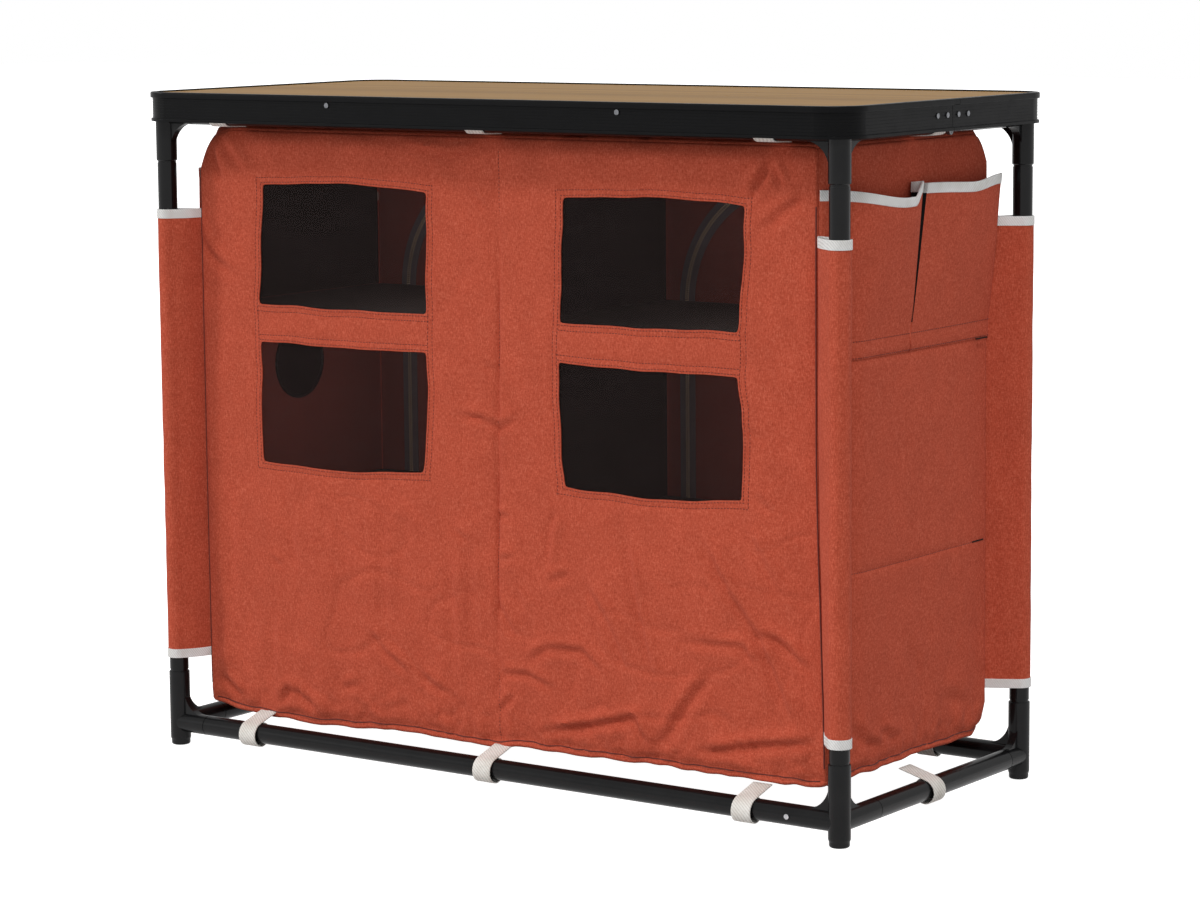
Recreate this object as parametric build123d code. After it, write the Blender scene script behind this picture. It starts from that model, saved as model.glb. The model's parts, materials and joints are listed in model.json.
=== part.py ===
from build123d import *
import os

# Camping cupboard with a fabric cabinet hung in a knock-down tube frame.
# Millimetres, +Z up, +X to the right along the windowed front, +Y to the back.
# The origin is on the floor under the middle of the cupboard.

# Overall size
table_length = 1000.0
table_depth = 450.0
table_height = 800.0

# Tabletop edge profile, boards and seam
edge_height = 35.0
edge_wall = 1.5
edge_corner_radius = 40.0
top_lip_reach = 2.5
top_lip_height = 7.0
top_lip_upper_rounding = 2.0
top_lip_lower_rounding = 0.75
bottom_lip_reach = 2.0
bottom_lip_height = 3.5
bottom_lip_rounding = 0.8
rim_width = 5.0
rim_thickness = 1.5
ledge_width = 8.0
ledge_thickness = 1.5
groove_depth = 0.4
groove_height = 0.8
groove_count = 6
board_thickness = 5.0
board_clearance = 0.3
seam_gap = 0.6
seam_step = 12.0

# Cross bars under the boards, and their rivets
cross_bar_share = 0.205
cross_bar_width = 16.0
cross_bar_gap = 0.5
cross_rivet_share = 0.4
rivet_head_radius = 3.0
rivet_head_height = 1.2
rivet_shank_radius = 1.5
rivet_clearance = 0.05

# Tabletop hinges inside the short sides
hinge_leaf_thickness = 2.0
hinge_leaf_length = 42.0
hinge_leaf_height = 14.0
hinge_rivet_inner_y = 12.0
hinge_rivet_outer_y = 33.0
hinge_lobe_radius = 4.0
hinge_pin_radius = 2.0
hinge_pin_clearance = 0.05
hinge_drop = 0.5
leaf_gap = 0.3

# Frame tubes and connectors
leg_inset_x = 24.5
leg_inset_y = 26.0
leg_tube_diameter = 23.0
rail_tube_diameter = 24.0
tube_wall = 1.2
connector_diameter = 25.0
bottom_rail_height = 28.0
top_rail_drop = 27.0
lower_socket_top = 92.0
upper_socket_drop = 83.0
leg_insertion = 40.0
tube_fit = 0.05
socket_length_x = 46.0
socket_length_y_front = 70.0
socket_length_y_back = 36.0
spigot_length = 30.0
shoulder_gap = 0.8
socket_rim_chamfer = 1.0
leg_neck_height = 2.5
leg_neck_depth = 0.6
gusset_reach = 48.0
gusset_rise = 36.0
gusset_thickness = 9.0
gusset_sink = 0.9
gusset_bow = 0.293
rail_rivet_setback = 14.0
rail_rivet_depth = 10.0
foot_plug_height = 6.0
foot_plug_rounding = 2.5
foot_taper = 1.0
foot_taper_height = 3.0
foot_stem_root = 1.0
foot_stem_radius = 8.0
foot_stem_length = 10.0

# Fabric cabinet
cabinet_side_gap = 50.5
cabinet_depth_gap = 52.0
cabinet_bottom = 52.0
cabinet_top_drop = 43.0
cloth_thickness = 1.5
front_crown = 7.0
cabinet_top_corner = 45.0
cabinet_bottom_corner = 30.0
sewing_gap = 0.3
floor_height = 56.0
floor_thickness = 3.0
divider_thickness = 2.0
shelf_thickness = 5.0
lower_shelf_share = 0.352
upper_shelf_share = 0.694

# Windows of the front panel
window_width = 248.0
window_centre_share = 0.4872
window_drop = 69.0
upper_window_height = 139.0
window_bar_height = 46.0
lower_window_height = 143.0
window_corner = 9.0
mesh_overlap = 9.0
mesh_thickness = 0.6
field_margin = 5.0

# Doors and zips of the back panel
door_inner_x = 30.0
door_side_margin = 49.5
door_bottom_margin = 23.0
door_top_margin = 67.0
door_corner = 150.0
hinge_slit = 0.4
zip_half_gap = 0.15
zip_chain_half = 2.8
zip_chain_depth = 2.6
zip_tape_width = 8.0
zip_tape_thickness = 0.8
slider_width = 9.0
slider_height = 11.0
slider_depth = 3.0
slider_rounding = 2.2
slider_start = 36.0
pull_width = 5.0
pull_thickness = 1.4
pull_rounding = 1.6
pull_length = 28.0
pull_top_inset = 1.0

# Side pockets
pocket_shelf_drop = 20.0
pocket_top_margin = 56.0
pocket_end_inset = 9.0
pocket_fullness_bottom = 1.0
pocket_fullness_top = 24.0
pleat_half_width = 6.0
pleat_stand = 9.0
pleat_depth = 7.0
binding_height = 10.5
binding_thickness = 0.9
binding_gap = 0.1

# Leg sleeves
sleeve_bottom_gap = 18.0
sleeve_top_gap = 59.0
sleeve_radius = 14.5
sleeve_cloth = 1.2
sleeve_seam_radius = 2.4
sleeve_seam_inset = 4.0

# Webbing straps
strap_width = 25.0
strap_thickness = 1.5
strap_looseness = 0.4
bottom_strap_inset = 94.5
top_strap_inset = 64.5

# Cable port in the left side panel
port_radius = 45.0
port_shelf_drop = 86.0
port_y = 10.0
port_flange = 4.0
port_flange_thickness = 1.2

# Places that follow from the sizes above
web_half_length = table_length / 2 - top_lip_reach
web_half_depth = table_depth / 2 - top_lip_reach
edge_bottom = table_height - edge_height
board_top = table_height - rim_thickness
board_bottom = board_top - board_thickness
ledge_bottom = board_bottom - ledge_thickness
leg_x = table_length / 2 - leg_inset_x
leg_y = table_depth / 2 - leg_inset_y
rail_radius = rail_tube_diameter / 2
leg_radius = leg_tube_diameter / 2
connector_radius = connector_diameter / 2
top_rail_height = table_height - top_rail_drop
upper_socket_bottom = table_height - upper_socket_drop
cross_bar_bottom = top_rail_height + rail_radius + cross_bar_gap
cross_bar_height = board_bottom - cross_bar_bottom
cross_rivet_height = cross_bar_bottom + cross_bar_height * cross_rivet_share
hinge_height = edge_bottom - hinge_drop
hinge_rivet_height = edge_bottom + edge_height / 2
leaf_outer_x = web_half_length - edge_wall
leaf_inner_x = leaf_outer_x - hinge_leaf_thickness
lobe_outer_x = leaf_inner_x - leaf_gap
lobe_inner_x = lobe_outer_x - hinge_leaf_thickness
cross_bar_x = table_length * cross_bar_share
side_x = table_length / 2 - cabinet_side_gap
cabinet_front_y = -(table_depth / 2 - cabinet_depth_gap)
cabinet_back_y = table_depth / 2 - cabinet_depth_gap
cabinet_top = table_height - cabinet_top_drop
cabinet_height = cabinet_top - cabinet_bottom
side_inner_x = side_x - cloth_thickness
front_inner_y = cabinet_front_y + cloth_thickness
back_inner_y = cabinet_back_y - cloth_thickness
floor_top = floor_height + floor_thickness
inside_half = side_inner_x - sewing_gap
inside_front = front_inner_y + sewing_gap
inside_back = back_inner_y - sewing_gap
lower_shelf_top = cabinet_bottom + cabinet_height * lower_shelf_share
upper_shelf_top = cabinet_bottom + cabinet_height * upper_shelf_share
window_centre_x = side_x * window_centre_share
upper_window_top = cabinet_top - window_drop
upper_window_bottom = upper_window_top - upper_window_height
lower_window_top = upper_window_bottom - window_bar_height
lower_window_bottom = lower_window_top - lower_window_height
field_inner_x = window_centre_x - window_width / 2 - mesh_overlap - field_margin
field_outer_x = window_centre_x + window_width / 2 + mesh_overlap + field_margin
door_outer_x = side_x - door_side_margin
door_bottom = cabinet_bottom + door_bottom_margin
door_top = cabinet_top - door_top_margin
pocket_bottom = upper_shelf_top - pocket_shelf_drop
pocket_top = cabinet_top - pocket_top_margin
pocket_half_length = cabinet_back_y - pocket_end_inset
sleeve_bottom = lower_socket_top + sleeve_bottom_gap
sleeve_top = upper_socket_bottom - sleeve_top_gap
bottom_strap_x = side_x - bottom_strap_inset
top_strap_x = side_x - top_strap_inset
port_height = upper_shelf_top - port_shelf_drop

LEFT_RIGHT = {"left": -1, "right": 1}
FRONT_BACK = {"front": -1, "back": 1}


def slab(x0, x1, y0, y1, z0, z1):
    """Box between two corners."""
    size = Box(x1 - x0, y1 - y0, z1 - z0)
    return Pos((x0 + x1) / 2, (y0 + y1) / 2, (z0 + z1) / 2) * size


def upright(radius, z0, z1, x=0.0, y=0.0):
    """Cylinder along Z from z0 to z1."""
    return Pos(x, y, (z0 + z1) / 2) * Cylinder(radius, z1 - z0)


def lying_x(radius, x0, x1, y=0.0, z=0.0):
    """Cylinder along X from x0 to x1."""
    rod = Cylinder(radius, abs(x1 - x0))
    return Pos((x0 + x1) / 2, y, z) * Rot(0, 90, 0) * rod


def lying_y(radius, y0, y1, x=0.0, z=0.0):
    """Cylinder along Y from y0 to y1."""
    rod = Cylinder(radius, abs(y1 - y0))
    return Pos(x, (y0 + y1) / 2, z) * Rot(90, 0, 0) * rod


def save(node, *solids):
    """Write one node, which may hold several separate solids."""
    bodies = [body for shape in solids for body in shape.solids()]
    shape = bodies[0] if len(bodies) == 1 else Compound(children=bodies)
    export_step(shape, f"parts/{node}.step")


# Frame tubes


def leg_tube(x, y):
    bottom = lower_socket_top - leg_insertion
    top = upper_socket_bottom + leg_insertion
    outer = upright(leg_radius, bottom, top, x, y)
    for low in (lower_socket_top, upper_socket_bottom - leg_neck_height):
        high = low + leg_neck_height
        neck = upright(leg_radius, low, high, x, y)
        outer -= neck - upright(leg_radius - leg_neck_depth, low, high, x, y)
    return outer - upright(leg_radius - tube_wall, bottom, top, x, y)


def long_rail(y, z):
    """Rail along X, riveted at its right end and plugged in with a shoulder gap at its left."""
    left = -leg_x + socket_length_x + shoulder_gap
    right = leg_x - socket_length_x
    outer = lying_x(rail_radius, left, right, y, z)
    return outer - lying_x(rail_radius - tube_wall, left, right, y, z)


def short_rail(x, z):
    """Rail along Y, with a shoulder gap at both ends."""
    front = -leg_y + socket_length_y_front + shoulder_gap
    back = leg_y - socket_length_y_back - shoulder_gap
    outer = lying_y(rail_radius, front, back, x, z)
    return outer - lying_y(rail_radius - tube_wall, front, back, x, z)


def gusset_outline(socket_length):
    """Web between an upright barrel and a lying one, with a hollow curved edge."""
    reach = min(gusset_reach, socket_length - shoulder_gap)
    start = (reach, rail_radius * gusset_sink)
    end = (connector_radius * gusset_sink, gusset_rise)
    middle_across = end[0] + (start[0] - end[0]) * gusset_bow
    middle_up = start[1] + (end[1] - start[1]) * gusset_bow
    edge = ThreePointArc(start, (middle_across, middle_up), end)
    back = Polyline(end, (0, gusset_rise), (0, 0), (reach, 0), start)
    return make_face(edge + back)


def socket_length_y(y):
    """Length of the barrel along Y at a front or a back leg."""
    return socket_length_y_back if y > 0 else socket_length_y_front


def gussets(x, y):
    """Both gussets of the connector at a leg, standing up from the rail axes at the origin."""
    half = gusset_thickness / 2
    along_x = extrude(Plane.XZ * gusset_outline(socket_length_x), amount=half, both=True)
    if x > 0:
        along_x = mirror(along_x, about=Plane.YZ)
    along_y = extrude(Plane.YZ * gusset_outline(socket_length_y(y)), amount=half, both=True)
    if y > 0:
        along_y = mirror(along_y, about=Plane.XZ)
    return along_x + along_y


def rail_barrels(x, y, z):
    """Lying barrels of a connector towards its two rails, with the spigots inside the rails."""
    toward_x = -1 if x > 0 else 1
    toward_y = -1 if y > 0 else 1
    end_x = x + toward_x * socket_length_x
    end_y = y + toward_y * socket_length_y(y)
    spigot = rail_radius - tube_wall - tube_fit
    barrels = lying_x(rail_radius, x, end_x, y, z)
    barrels += lying_x(spigot, x, end_x + toward_x * spigot_length, y, z)
    barrels += lying_y(rail_radius, y, end_y, x, z)
    barrels += lying_y(spigot, y, end_y + toward_y * spigot_length, x, z)
    return barrels


def lower_connector(x, y):
    body = upright(connector_radius, foot_plug_height, lower_socket_top, x, y)
    body = chamfer(body.edges().sort_by(Axis.Z)[-1], socket_rim_chamfer)
    body = chamfer(body.edges().sort_by(Axis.Z)[0], foot_taper_height, foot_taper)
    body += rail_barrels(x, y, bottom_rail_height)
    body += Pos(x, y, bottom_rail_height) * gussets(x, y)
    bore_floor = lower_socket_top - leg_insertion
    body -= upright(leg_radius + tube_fit, bore_floor, lower_socket_top, x, y)
    stem_hole_top = foot_plug_height + foot_stem_length + tube_fit
    body -= upright(foot_stem_radius + tube_fit, foot_plug_height, stem_hole_top, x, y)
    return body - rail_rivet_hole(x, y, bottom_rail_height)


def upper_connector(x, y):
    top = top_rail_height + rail_radius
    body = upright(connector_radius, upper_socket_bottom, top, x, y)
    body = chamfer(body.edges().sort_by(Axis.Z)[0], socket_rim_chamfer)
    body += rail_barrels(x, y, top_rail_height)
    hanging = mirror(gussets(x, y), about=Plane.XY)
    body += Pos(x, y, top_rail_height) * hanging
    bore_roof = upper_socket_bottom + leg_insertion
    body -= upright(leg_radius + tube_fit, upper_socket_bottom, bore_roof, x, y)
    return body - rail_rivet_hole(x, y, top_rail_height)


def foot_plug(x, y):
    cap = upright(connector_radius - foot_taper, 0, foot_plug_height, x, y)
    cap = fillet(cap.edges().sort_by(Axis.Z)[0], foot_plug_rounding)
    stem_top = foot_plug_height + foot_stem_length
    return cap + upright(foot_stem_radius, foot_plug_height - foot_stem_root, stem_top, x, y)


def rail_rivet_x():
    return leg_x - socket_length_x - rail_rivet_setback


def rail_rivet_hole(x, y, z):
    """Hole through the spigot at the right end of a long rail."""
    hole = lying_y(
        rivet_shank_radius + rivet_clearance, -table_depth, table_depth, rail_rivet_x(), z
    )
    near = slab(0, table_length, y - rail_radius, y + rail_radius, 0, table_height)
    return hole & near if x > 0 else Part()


def rail_rivets():
    """Rivets through the long rails at their right ends, heads to the outside."""
    rivets = []
    for y_side in FRONT_BACK.values():
        for z in (bottom_rail_height, top_rail_height):
            face = y_side * (leg_y + rail_radius)
            start = face - y_side * (tube_wall + rail_rivet_depth)
            shank = lying_y(rivet_shank_radius, start, face, rail_rivet_x(), z)
            head_end = face + y_side * rivet_head_height
            head = lying_y(rivet_head_radius, face, head_end, rail_rivet_x(), z)
            rivets.append(shank + head)
    return rivets


def drilled_long_rail(y, z):
    """Long rail with the hole for its rivet on the outer side."""
    outside = y + rail_radius if y > 0 else y - rail_radius
    hole = lying_y(rivet_shank_radius + rivet_clearance, y, outside, rail_rivet_x(), z)
    return long_rail(y, z) - hole


# Tabletop


def rounded_plate(offset, z0, z1):
    """Plate with the outline of the edge profile's web, grown by offset."""
    length = 2 * (web_half_length + offset)
    depth = 2 * (web_half_depth + offset)
    outline = RectangleRounded(length, depth, edge_corner_radius + offset)
    return Pos(0, 0, z0) * extrude(outline, amount=z1 - z0)


def ring(outer, inner, z0, z1):
    return rounded_plate(outer, z0, z1) - rounded_plate(inner, z0, z1)


def edge_ring():
    """Whole edge profile: web, two lips, rim over the board, ledge under it, fine grooves."""
    top_lip = rounded_plate(top_lip_reach, table_height - top_lip_height, table_height)
    top_lip = fillet(top_lip.edges().group_by(Axis.Z)[-1], top_lip_upper_rounding)
    top_lip = fillet(top_lip.edges().group_by(Axis.Z)[0], top_lip_lower_rounding)
    bottom_lip = rounded_plate(bottom_lip_reach, edge_bottom, edge_bottom + bottom_lip_height)
    bottom_lip = fillet(bottom_lip.edges().group_by(Axis.Z)[-1], bottom_lip_rounding)
    shell = rounded_plate(0, edge_bottom, table_height) + top_lip + bottom_lip
    shell -= rounded_plate(-edge_wall, edge_bottom, ledge_bottom)
    shell -= rounded_plate(-edge_wall - ledge_width, ledge_bottom, board_bottom)
    shell -= rounded_plate(-edge_wall, board_bottom, board_top)
    shell -= rounded_plate(-rim_width, board_top, table_height)
    first = edge_bottom + bottom_lip_height
    pitch = (edge_height - bottom_lip_height - top_lip_height) / (groove_count + 1)
    for index in range(groove_count):
        middle = first + pitch * (index + 1)
        low = middle - groove_height / 2
        shell -= ring(groove_depth, -groove_depth, low, low + groove_height)
    return shell


def seam_tongue_zone(clearance):
    """Space of the step in the seam, in the web and top lip of both short sides."""
    front = -seam_gap / 2
    back = seam_step - seam_gap / 2 + clearance
    low = board_bottom - clearance
    zone = slab(-table_length, table_length, front, back, low, table_height)
    return zone - rounded_plate(-edge_wall - clearance, low, table_height)


def edge_rivet_holes(side):
    """Holes in one half's edge profile for its cross-bar and hinge rivets."""
    radius = rivet_shank_radius + rivet_clearance
    outside = side * (table_depth / 2)
    inside = side * (web_half_depth - ledge_width)
    holes = Part()
    for x_side in LEFT_RIGHT.values():
        x = x_side * cross_bar_x
        holes += lying_y(radius, inside, outside, x, cross_rivet_height)
        for y in (hinge_rivet_inner_y, hinge_rivet_outer_y):
            outer = x_side * table_length / 2
            inner = x_side * leaf_inner_x
            holes += lying_x(radius, inner, outer, side * y, hinge_rivet_height)
    return holes


def edge_profile(side):
    whole = edge_ring()
    far = table_depth
    if side < 0:
        zone = slab(-table_length, table_length, -far, -seam_gap / 2, 0, table_height)
        half = (whole & zone) + (whole & seam_tongue_zone(0))
    else:
        zone = slab(-table_length, table_length, seam_gap / 2, far, 0, table_height)
        half = (whole & zone) - seam_tongue_zone(seam_gap)
    return half - edge_rivet_holes(side)


def tabletop_board(side):
    plate = rounded_plate(-edge_wall - board_clearance, board_bottom, board_top)
    near = side * seam_gap / 2
    far = side * table_depth
    zone = slab(
        -table_length, table_length, min(near, far), max(near, far), board_bottom, board_top
    )
    return plate & zone


def cross_bars(side):
    """Two bars under one board, from the edge profile to the seam."""
    bars = []
    near = side * seam_gap
    far = side * (web_half_depth - edge_wall)
    for x_side in LEFT_RIGHT.values():
        x = x_side * cross_bar_x
        half = cross_bar_width / 2
        bar = slab(
            x - half, x + half, min(near, far), max(near, far), cross_bar_bottom, ledge_bottom
        )
        inset = side * (web_half_depth - edge_wall - ledge_width - board_clearance)
        low, high = min(near, inset), max(near, inset)
        bar += slab(x - half, x + half, low, high, ledge_bottom, board_bottom)
        start = side * (web_half_depth - edge_wall - 2 * ledge_width)
        hole_radius = rivet_shank_radius + rivet_clearance
        bar -= lying_y(hole_radius, start, far, x, cross_rivet_height)
        bars.append(bar)
    return bars


def edge_rivets(side):
    """Rivets of one half: through the long edge into the bars, through the sides into the leaves."""
    rivets = []
    for x_side in LEFT_RIGHT.values():
        x = x_side * cross_bar_x
        face = side * web_half_depth
        tip = side * (web_half_depth - edge_wall - ledge_width)
        shank = lying_y(rivet_shank_radius, tip, face, x, cross_rivet_height)
        end = face + side * rivet_head_height
        head = lying_y(rivet_head_radius, face, end, x, cross_rivet_height)
        rivets.append(shank + head)
        for y in (hinge_rivet_inner_y, hinge_rivet_outer_y):
            outer = x_side * web_half_length
            inner = x_side * leaf_inner_x
            place = (side * y, hinge_rivet_height)
            shank = lying_x(rivet_shank_radius, inner, outer, *place)
            head_end = outer + x_side * rivet_head_height
            head = lying_x(rivet_head_radius, outer, head_end, *place)
            tail_end = inner - x_side * rivet_head_height
            tail = lying_x(rivet_head_radius, inner, tail_end, *place)
            rivets.append(shank + head + tail)
    return rivets


def hinge_arm(side, x0, x1):
    """Arm from a leaf down to the hinge pin, between two X places."""
    reach = hinge_rivet_inner_y - hinge_lobe_radius
    lobe = Pos(0, hinge_height) * Circle(hinge_lobe_radius)
    root = Pos(side * reach, hinge_rivet_height) * Circle(hinge_lobe_radius)
    outline = make_hull(lobe.edges() + root.edges())
    arm = extrude(Plane.YZ * outline, amount=abs(x1 - x0))
    return Pos(min(x0, x1), 0, 0) * arm


def hinge_leaf(x_side, side):
    """Leaf riveted inside one short side. The back leaf's arm lies inside the front leaf's."""
    near = side * (seam_gap / 2 if side < 0 else hinge_lobe_radius + seam_gap)
    far = side * hinge_leaf_length
    low = hinge_rivet_height - hinge_leaf_height / 2
    high = hinge_rivet_height + hinge_leaf_height / 2
    x0, x1 = x_side * leaf_inner_x, x_side * leaf_outer_x
    leaf = slab(min(x0, x1), max(x0, x1), min(near, far), max(near, far), low, high)
    if side < 0:
        leaf += hinge_arm(side, x0, x1)
    else:
        leaf += hinge_arm(side, x_side * lobe_inner_x, x_side * lobe_outer_x)
        pad_near = hinge_lobe_radius + seam_gap
        pad_far = hinge_rivet_inner_y
        pad0, pad1 = x_side * lobe_inner_x, x_side * leaf_inner_x
        leaf += slab(min(pad0, pad1), max(pad0, pad1), pad_near, pad_far, low, high)
    pin_hole = lying_x(
        hinge_pin_radius + hinge_pin_clearance, 0, x_side * leaf_outer_x, 0, hinge_height
    )
    leaf -= pin_hole
    for y in (hinge_rivet_inner_y, hinge_rivet_outer_y):
        hole_radius = rivet_shank_radius + rivet_clearance
        place = (side * y, hinge_rivet_height)
        leaf -= lying_x(hole_radius, x_side * leaf_inner_x, x_side * leaf_outer_x, *place)
        tail = x_side * (leaf_inner_x - rivet_head_height)
        clear = rivet_head_radius + rivet_clearance
        leaf -= lying_x(clear, tail - x_side * leaf_gap, x_side * leaf_inner_x, *place)
    return leaf


def hinge_pin(x_side):
    """Pin with a head on its inner end."""
    inner = lobe_inner_x - leaf_gap
    shank = lying_x(
        hinge_pin_radius, x_side * inner, x_side * (leaf_outer_x - leaf_gap), 0, hinge_height
    )
    head_end = inner - rivet_head_height
    return shank + lying_x(rivet_head_radius, x_side * head_end, x_side * inner, 0, hinge_height)


# Fabric cabinet


def bowed_face(start, end, crown, thickness, outward):
    """Strip between two arcs from start to end, its outer arc bulging by crown."""
    nx, ny = outward
    middle = ((start[0] + end[0]) / 2 + nx * crown, (start[1] + end[1]) / 2 + ny * crown)
    inner_start = (start[0] - nx * thickness, start[1] - ny * thickness)
    inner_end = (end[0] - nx * thickness, end[1] - ny * thickness)
    inner_middle = (middle[0] - nx * thickness, middle[1] - ny * thickness)
    outer_arc = ThreePointArc(start, middle, end)
    inner_arc = ThreePointArc(inner_end, inner_middle, inner_start)
    return make_face(outer_arc + Line(end, inner_end) + inner_arc + Line(inner_start, start))


def front_sheet(inset, thickness, z0, z1):
    """Front cloth in two fields that stand proud of the side edges and the centre seam."""
    y = cabinet_front_y + inset
    crest = y - front_crown
    right_half = [(0, y), (field_inner_x, crest), (field_outer_x, crest), (side_x, y)]
    left_half = [(-x, depth) for x, depth in reversed(right_half[1:])]
    front = left_half + right_half
    back = [(x, depth + thickness) for x, depth in reversed(front)]
    plan = make_face(Polyline(*front, *back, close=True))
    return Pos(0, 0, z0) * extrude(plan, amount=z1 - z0)


def upright_outline(half_width, bottom, top, bottom_corner, top_corner):
    """Upright panel outline with rounded corners, drawn across and up."""
    middle = (bottom + top) / 2
    outline = Pos(0, middle) * Rectangle(2 * half_width, top - bottom)
    corners = outline.vertices().sort_by(Axis.Y)
    outline = fillet(corners[-2:], top_corner)
    corners = outline.vertices().sort_by(Axis.Y)
    return fillet(corners[:2], bottom_corner)


def window_zones(margin):
    """Through blocks of the four windows, grown by margin."""
    zones = []
    for x_side in LEFT_RIGHT.values():
        for low, high in (
            (lower_window_bottom, lower_window_top),
            (upper_window_bottom, upper_window_top),
        ):
            size = RectangleRounded(
                window_width + 2 * margin, high - low + 2 * margin, window_corner + margin
            )
            outline = Plane.XZ * Pos(x_side * window_centre_x, (low + high) / 2) * size
            zones.append(extrude(outline, amount=table_depth, both=True))
    return zones


def front_panel():
    sheet = front_sheet(0, cloth_thickness, cabinet_bottom, cabinet_top)
    outline = upright_outline(
        side_x, cabinet_bottom, cabinet_top, cabinet_bottom_corner, cabinet_top_corner
    )
    sheet &= extrude(Plane.XZ * outline, amount=table_depth, both=True)
    for zone in window_zones(0):
        sheet -= zone
    return sheet


def window_mesh(x_side):
    """Sheet of mesh behind one pair of windows."""
    low = lower_window_bottom - mesh_overlap
    high = upper_window_top + mesh_overlap
    sheet = front_sheet(cloth_thickness + sewing_gap, mesh_thickness, low, high)
    half = window_width / 2 + mesh_overlap
    x = x_side * window_centre_x
    return sheet & slab(x - half, x + half, -table_depth, 0, low, high)


def side_panel(x_side):
    depth_half = (inside_back - inside_front) / 2
    middle_y = (inside_back + inside_front) / 2
    outline = upright_outline(
        depth_half, cabinet_bottom, cabinet_top, cabinet_bottom_corner, cabinet_top_corner
    )
    panel = extrude(Plane.YZ * outline, amount=cloth_thickness)
    panel = Pos(side_inner_x if x_side > 0 else -side_x, middle_y, 0) * panel
    if x_side < 0:
        panel -= lying_x(port_radius, -side_x, -side_inner_x, port_y, port_height)
    return panel


def door_outline(growth):
    """Arched door outline of the right door, grown by growth, with a level bottom edge."""
    left = door_inner_x - growth
    right = door_outer_x + growth
    top = door_top + growth
    outline = Pos((left + right) / 2, (door_bottom + top) / 2) * Rectangle(
        right - left, top - door_bottom
    )
    return fillet(outline.vertices().sort_by(Axis.Y)[-2:], door_corner + growth)


def door_plate(growth, y0, y1, x_side):
    """Arched plate between two depths, on the left or the right."""
    plate = Pos(0, y1, 0) * extrude(Plane.XZ * door_outline(growth), amount=y1 - y0)
    return plate if x_side > 0 else mirror(plate, about=Plane.YZ)


def door_foot_slit():
    """Slit that keeps what belongs to the doors off the panel along their bottom edges."""
    low = door_bottom - hinge_slit
    high = door_bottom + hinge_slit
    return slab(-table_length, table_length, 0, table_depth, low, high)


def back_panel():
    outline = upright_outline(
        side_x, cabinet_bottom, cabinet_top, cabinet_bottom_corner, cabinet_top_corner
    )
    panel = Pos(0, cabinet_back_y, 0) * extrude(Plane.XZ * outline, amount=cloth_thickness)
    for x_side in LEFT_RIGHT.values():
        panel -= door_plate(zip_chain_half, back_inner_y, cabinet_back_y, x_side)
    return panel


def back_door(x_side):
    door = door_plate(-zip_chain_half, back_inner_y, cabinet_back_y, x_side)
    return door - door_foot_slit()


def zip_half(x_side, on_door):
    """Chain half and tape along the arch, on the door or on the panel beside it."""
    chain_front = cabinet_back_y - cloth_thickness
    chain_back = chain_front + zip_chain_depth
    tape_back = cabinet_back_y + zip_tape_thickness
    near, chain, tape = zip_half_gap, zip_chain_half, zip_chain_half + zip_tape_width
    if on_door:
        near, chain, tape = -near, -chain, -tape
    chain_band = door_plate(max(near, chain), chain_front, chain_back, x_side)
    chain_band -= door_plate(min(near, chain), chain_front, chain_back, x_side)
    tape_band = door_plate(max(near, tape), cabinet_back_y, tape_back, x_side)
    tape_band -= door_plate(min(near, tape), cabinet_back_y, tape_back, x_side)
    return chain_band + tape_band - door_foot_slit()


def zip_slider(x_side):
    """Slider on the inner straight leg of the arch, with its pull hanging over it."""
    x = x_side * door_inner_x
    chain_back = cabinet_back_y - cloth_thickness + zip_chain_depth
    front = chain_back + sewing_gap
    back = front + slider_depth
    z0 = door_bottom + slider_start
    half = slider_width / 2
    body = slab(x - half, x + half, front, back, z0, z0 + slider_height)
    body = fillet(body.edges().filter_by(Axis.Y), slider_rounding)
    half_pull = pull_width / 2
    high = z0 + slider_height - pull_top_inset
    low = high - pull_length
    pull = slab(x - half_pull, x + half_pull, back, back + pull_thickness, low, high)
    pull = fillet(pull.edges().filter_by(Axis.Y), pull_rounding)
    return body + pull


def cabinet_floor():
    return slab(-inside_half, inside_half, inside_front, inside_back, floor_height, floor_top)


def cabinet_roof():
    """Top sheet, with its corners cut away round the upper connectors."""
    outline = RectangleRounded(
        2 * inside_half, inside_back - inside_front, cabinet_top_corner + sewing_gap
    )
    middle = (inside_back + inside_front) / 2
    return Pos(0, middle, cabinet_top - cloth_thickness) * extrude(
        outline, amount=cloth_thickness
    )


def centre_divider():
    half = divider_thickness / 2
    top = cabinet_top - cloth_thickness - sewing_gap
    return slab(-half, half, inside_front, inside_back, floor_top + sewing_gap, top)


def shelf(x_side, top):
    near = x_side * (divider_thickness / 2 + sewing_gap)
    far = x_side * inside_half
    board = slab(
        min(near, far), max(near, far), inside_front, inside_back, top - shelf_thickness, top
    )
    return board


def pocket_fraction(z):
    return (z - pocket_bottom) / (pocket_top - pocket_bottom)


def pocket_faces(z, outset, thickness):
    """Plan sections of both bows and the pleat of a right-hand pocket panel at height z."""
    share = pocket_fraction(z)
    crown = pocket_fullness_bottom + (pocket_fullness_top - pocket_fullness_bottom) * share
    base = side_x + sewing_gap + cloth_thickness + outset
    stand = base + pleat_stand * share
    valley = stand - pleat_depth * share
    end, mouth = pocket_half_length, pleat_half_width
    bow = bowed_face((base, -end), (stand, -mouth), crown, thickness, (1, 0))
    other = bowed_face((stand, mouth), (base, end), crown, thickness, (1, 0))
    pleat_line = Polyline(
        (stand, -mouth),
        (valley, 0),
        (stand, mouth),
        (stand - thickness, mouth),
        (valley - thickness, 0),
        (stand - thickness, -mouth),
        (stand, -mouth),
    )
    return [Pos(0, 0, z) * face for face in (bow, make_face(pleat_line), other)]


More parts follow.
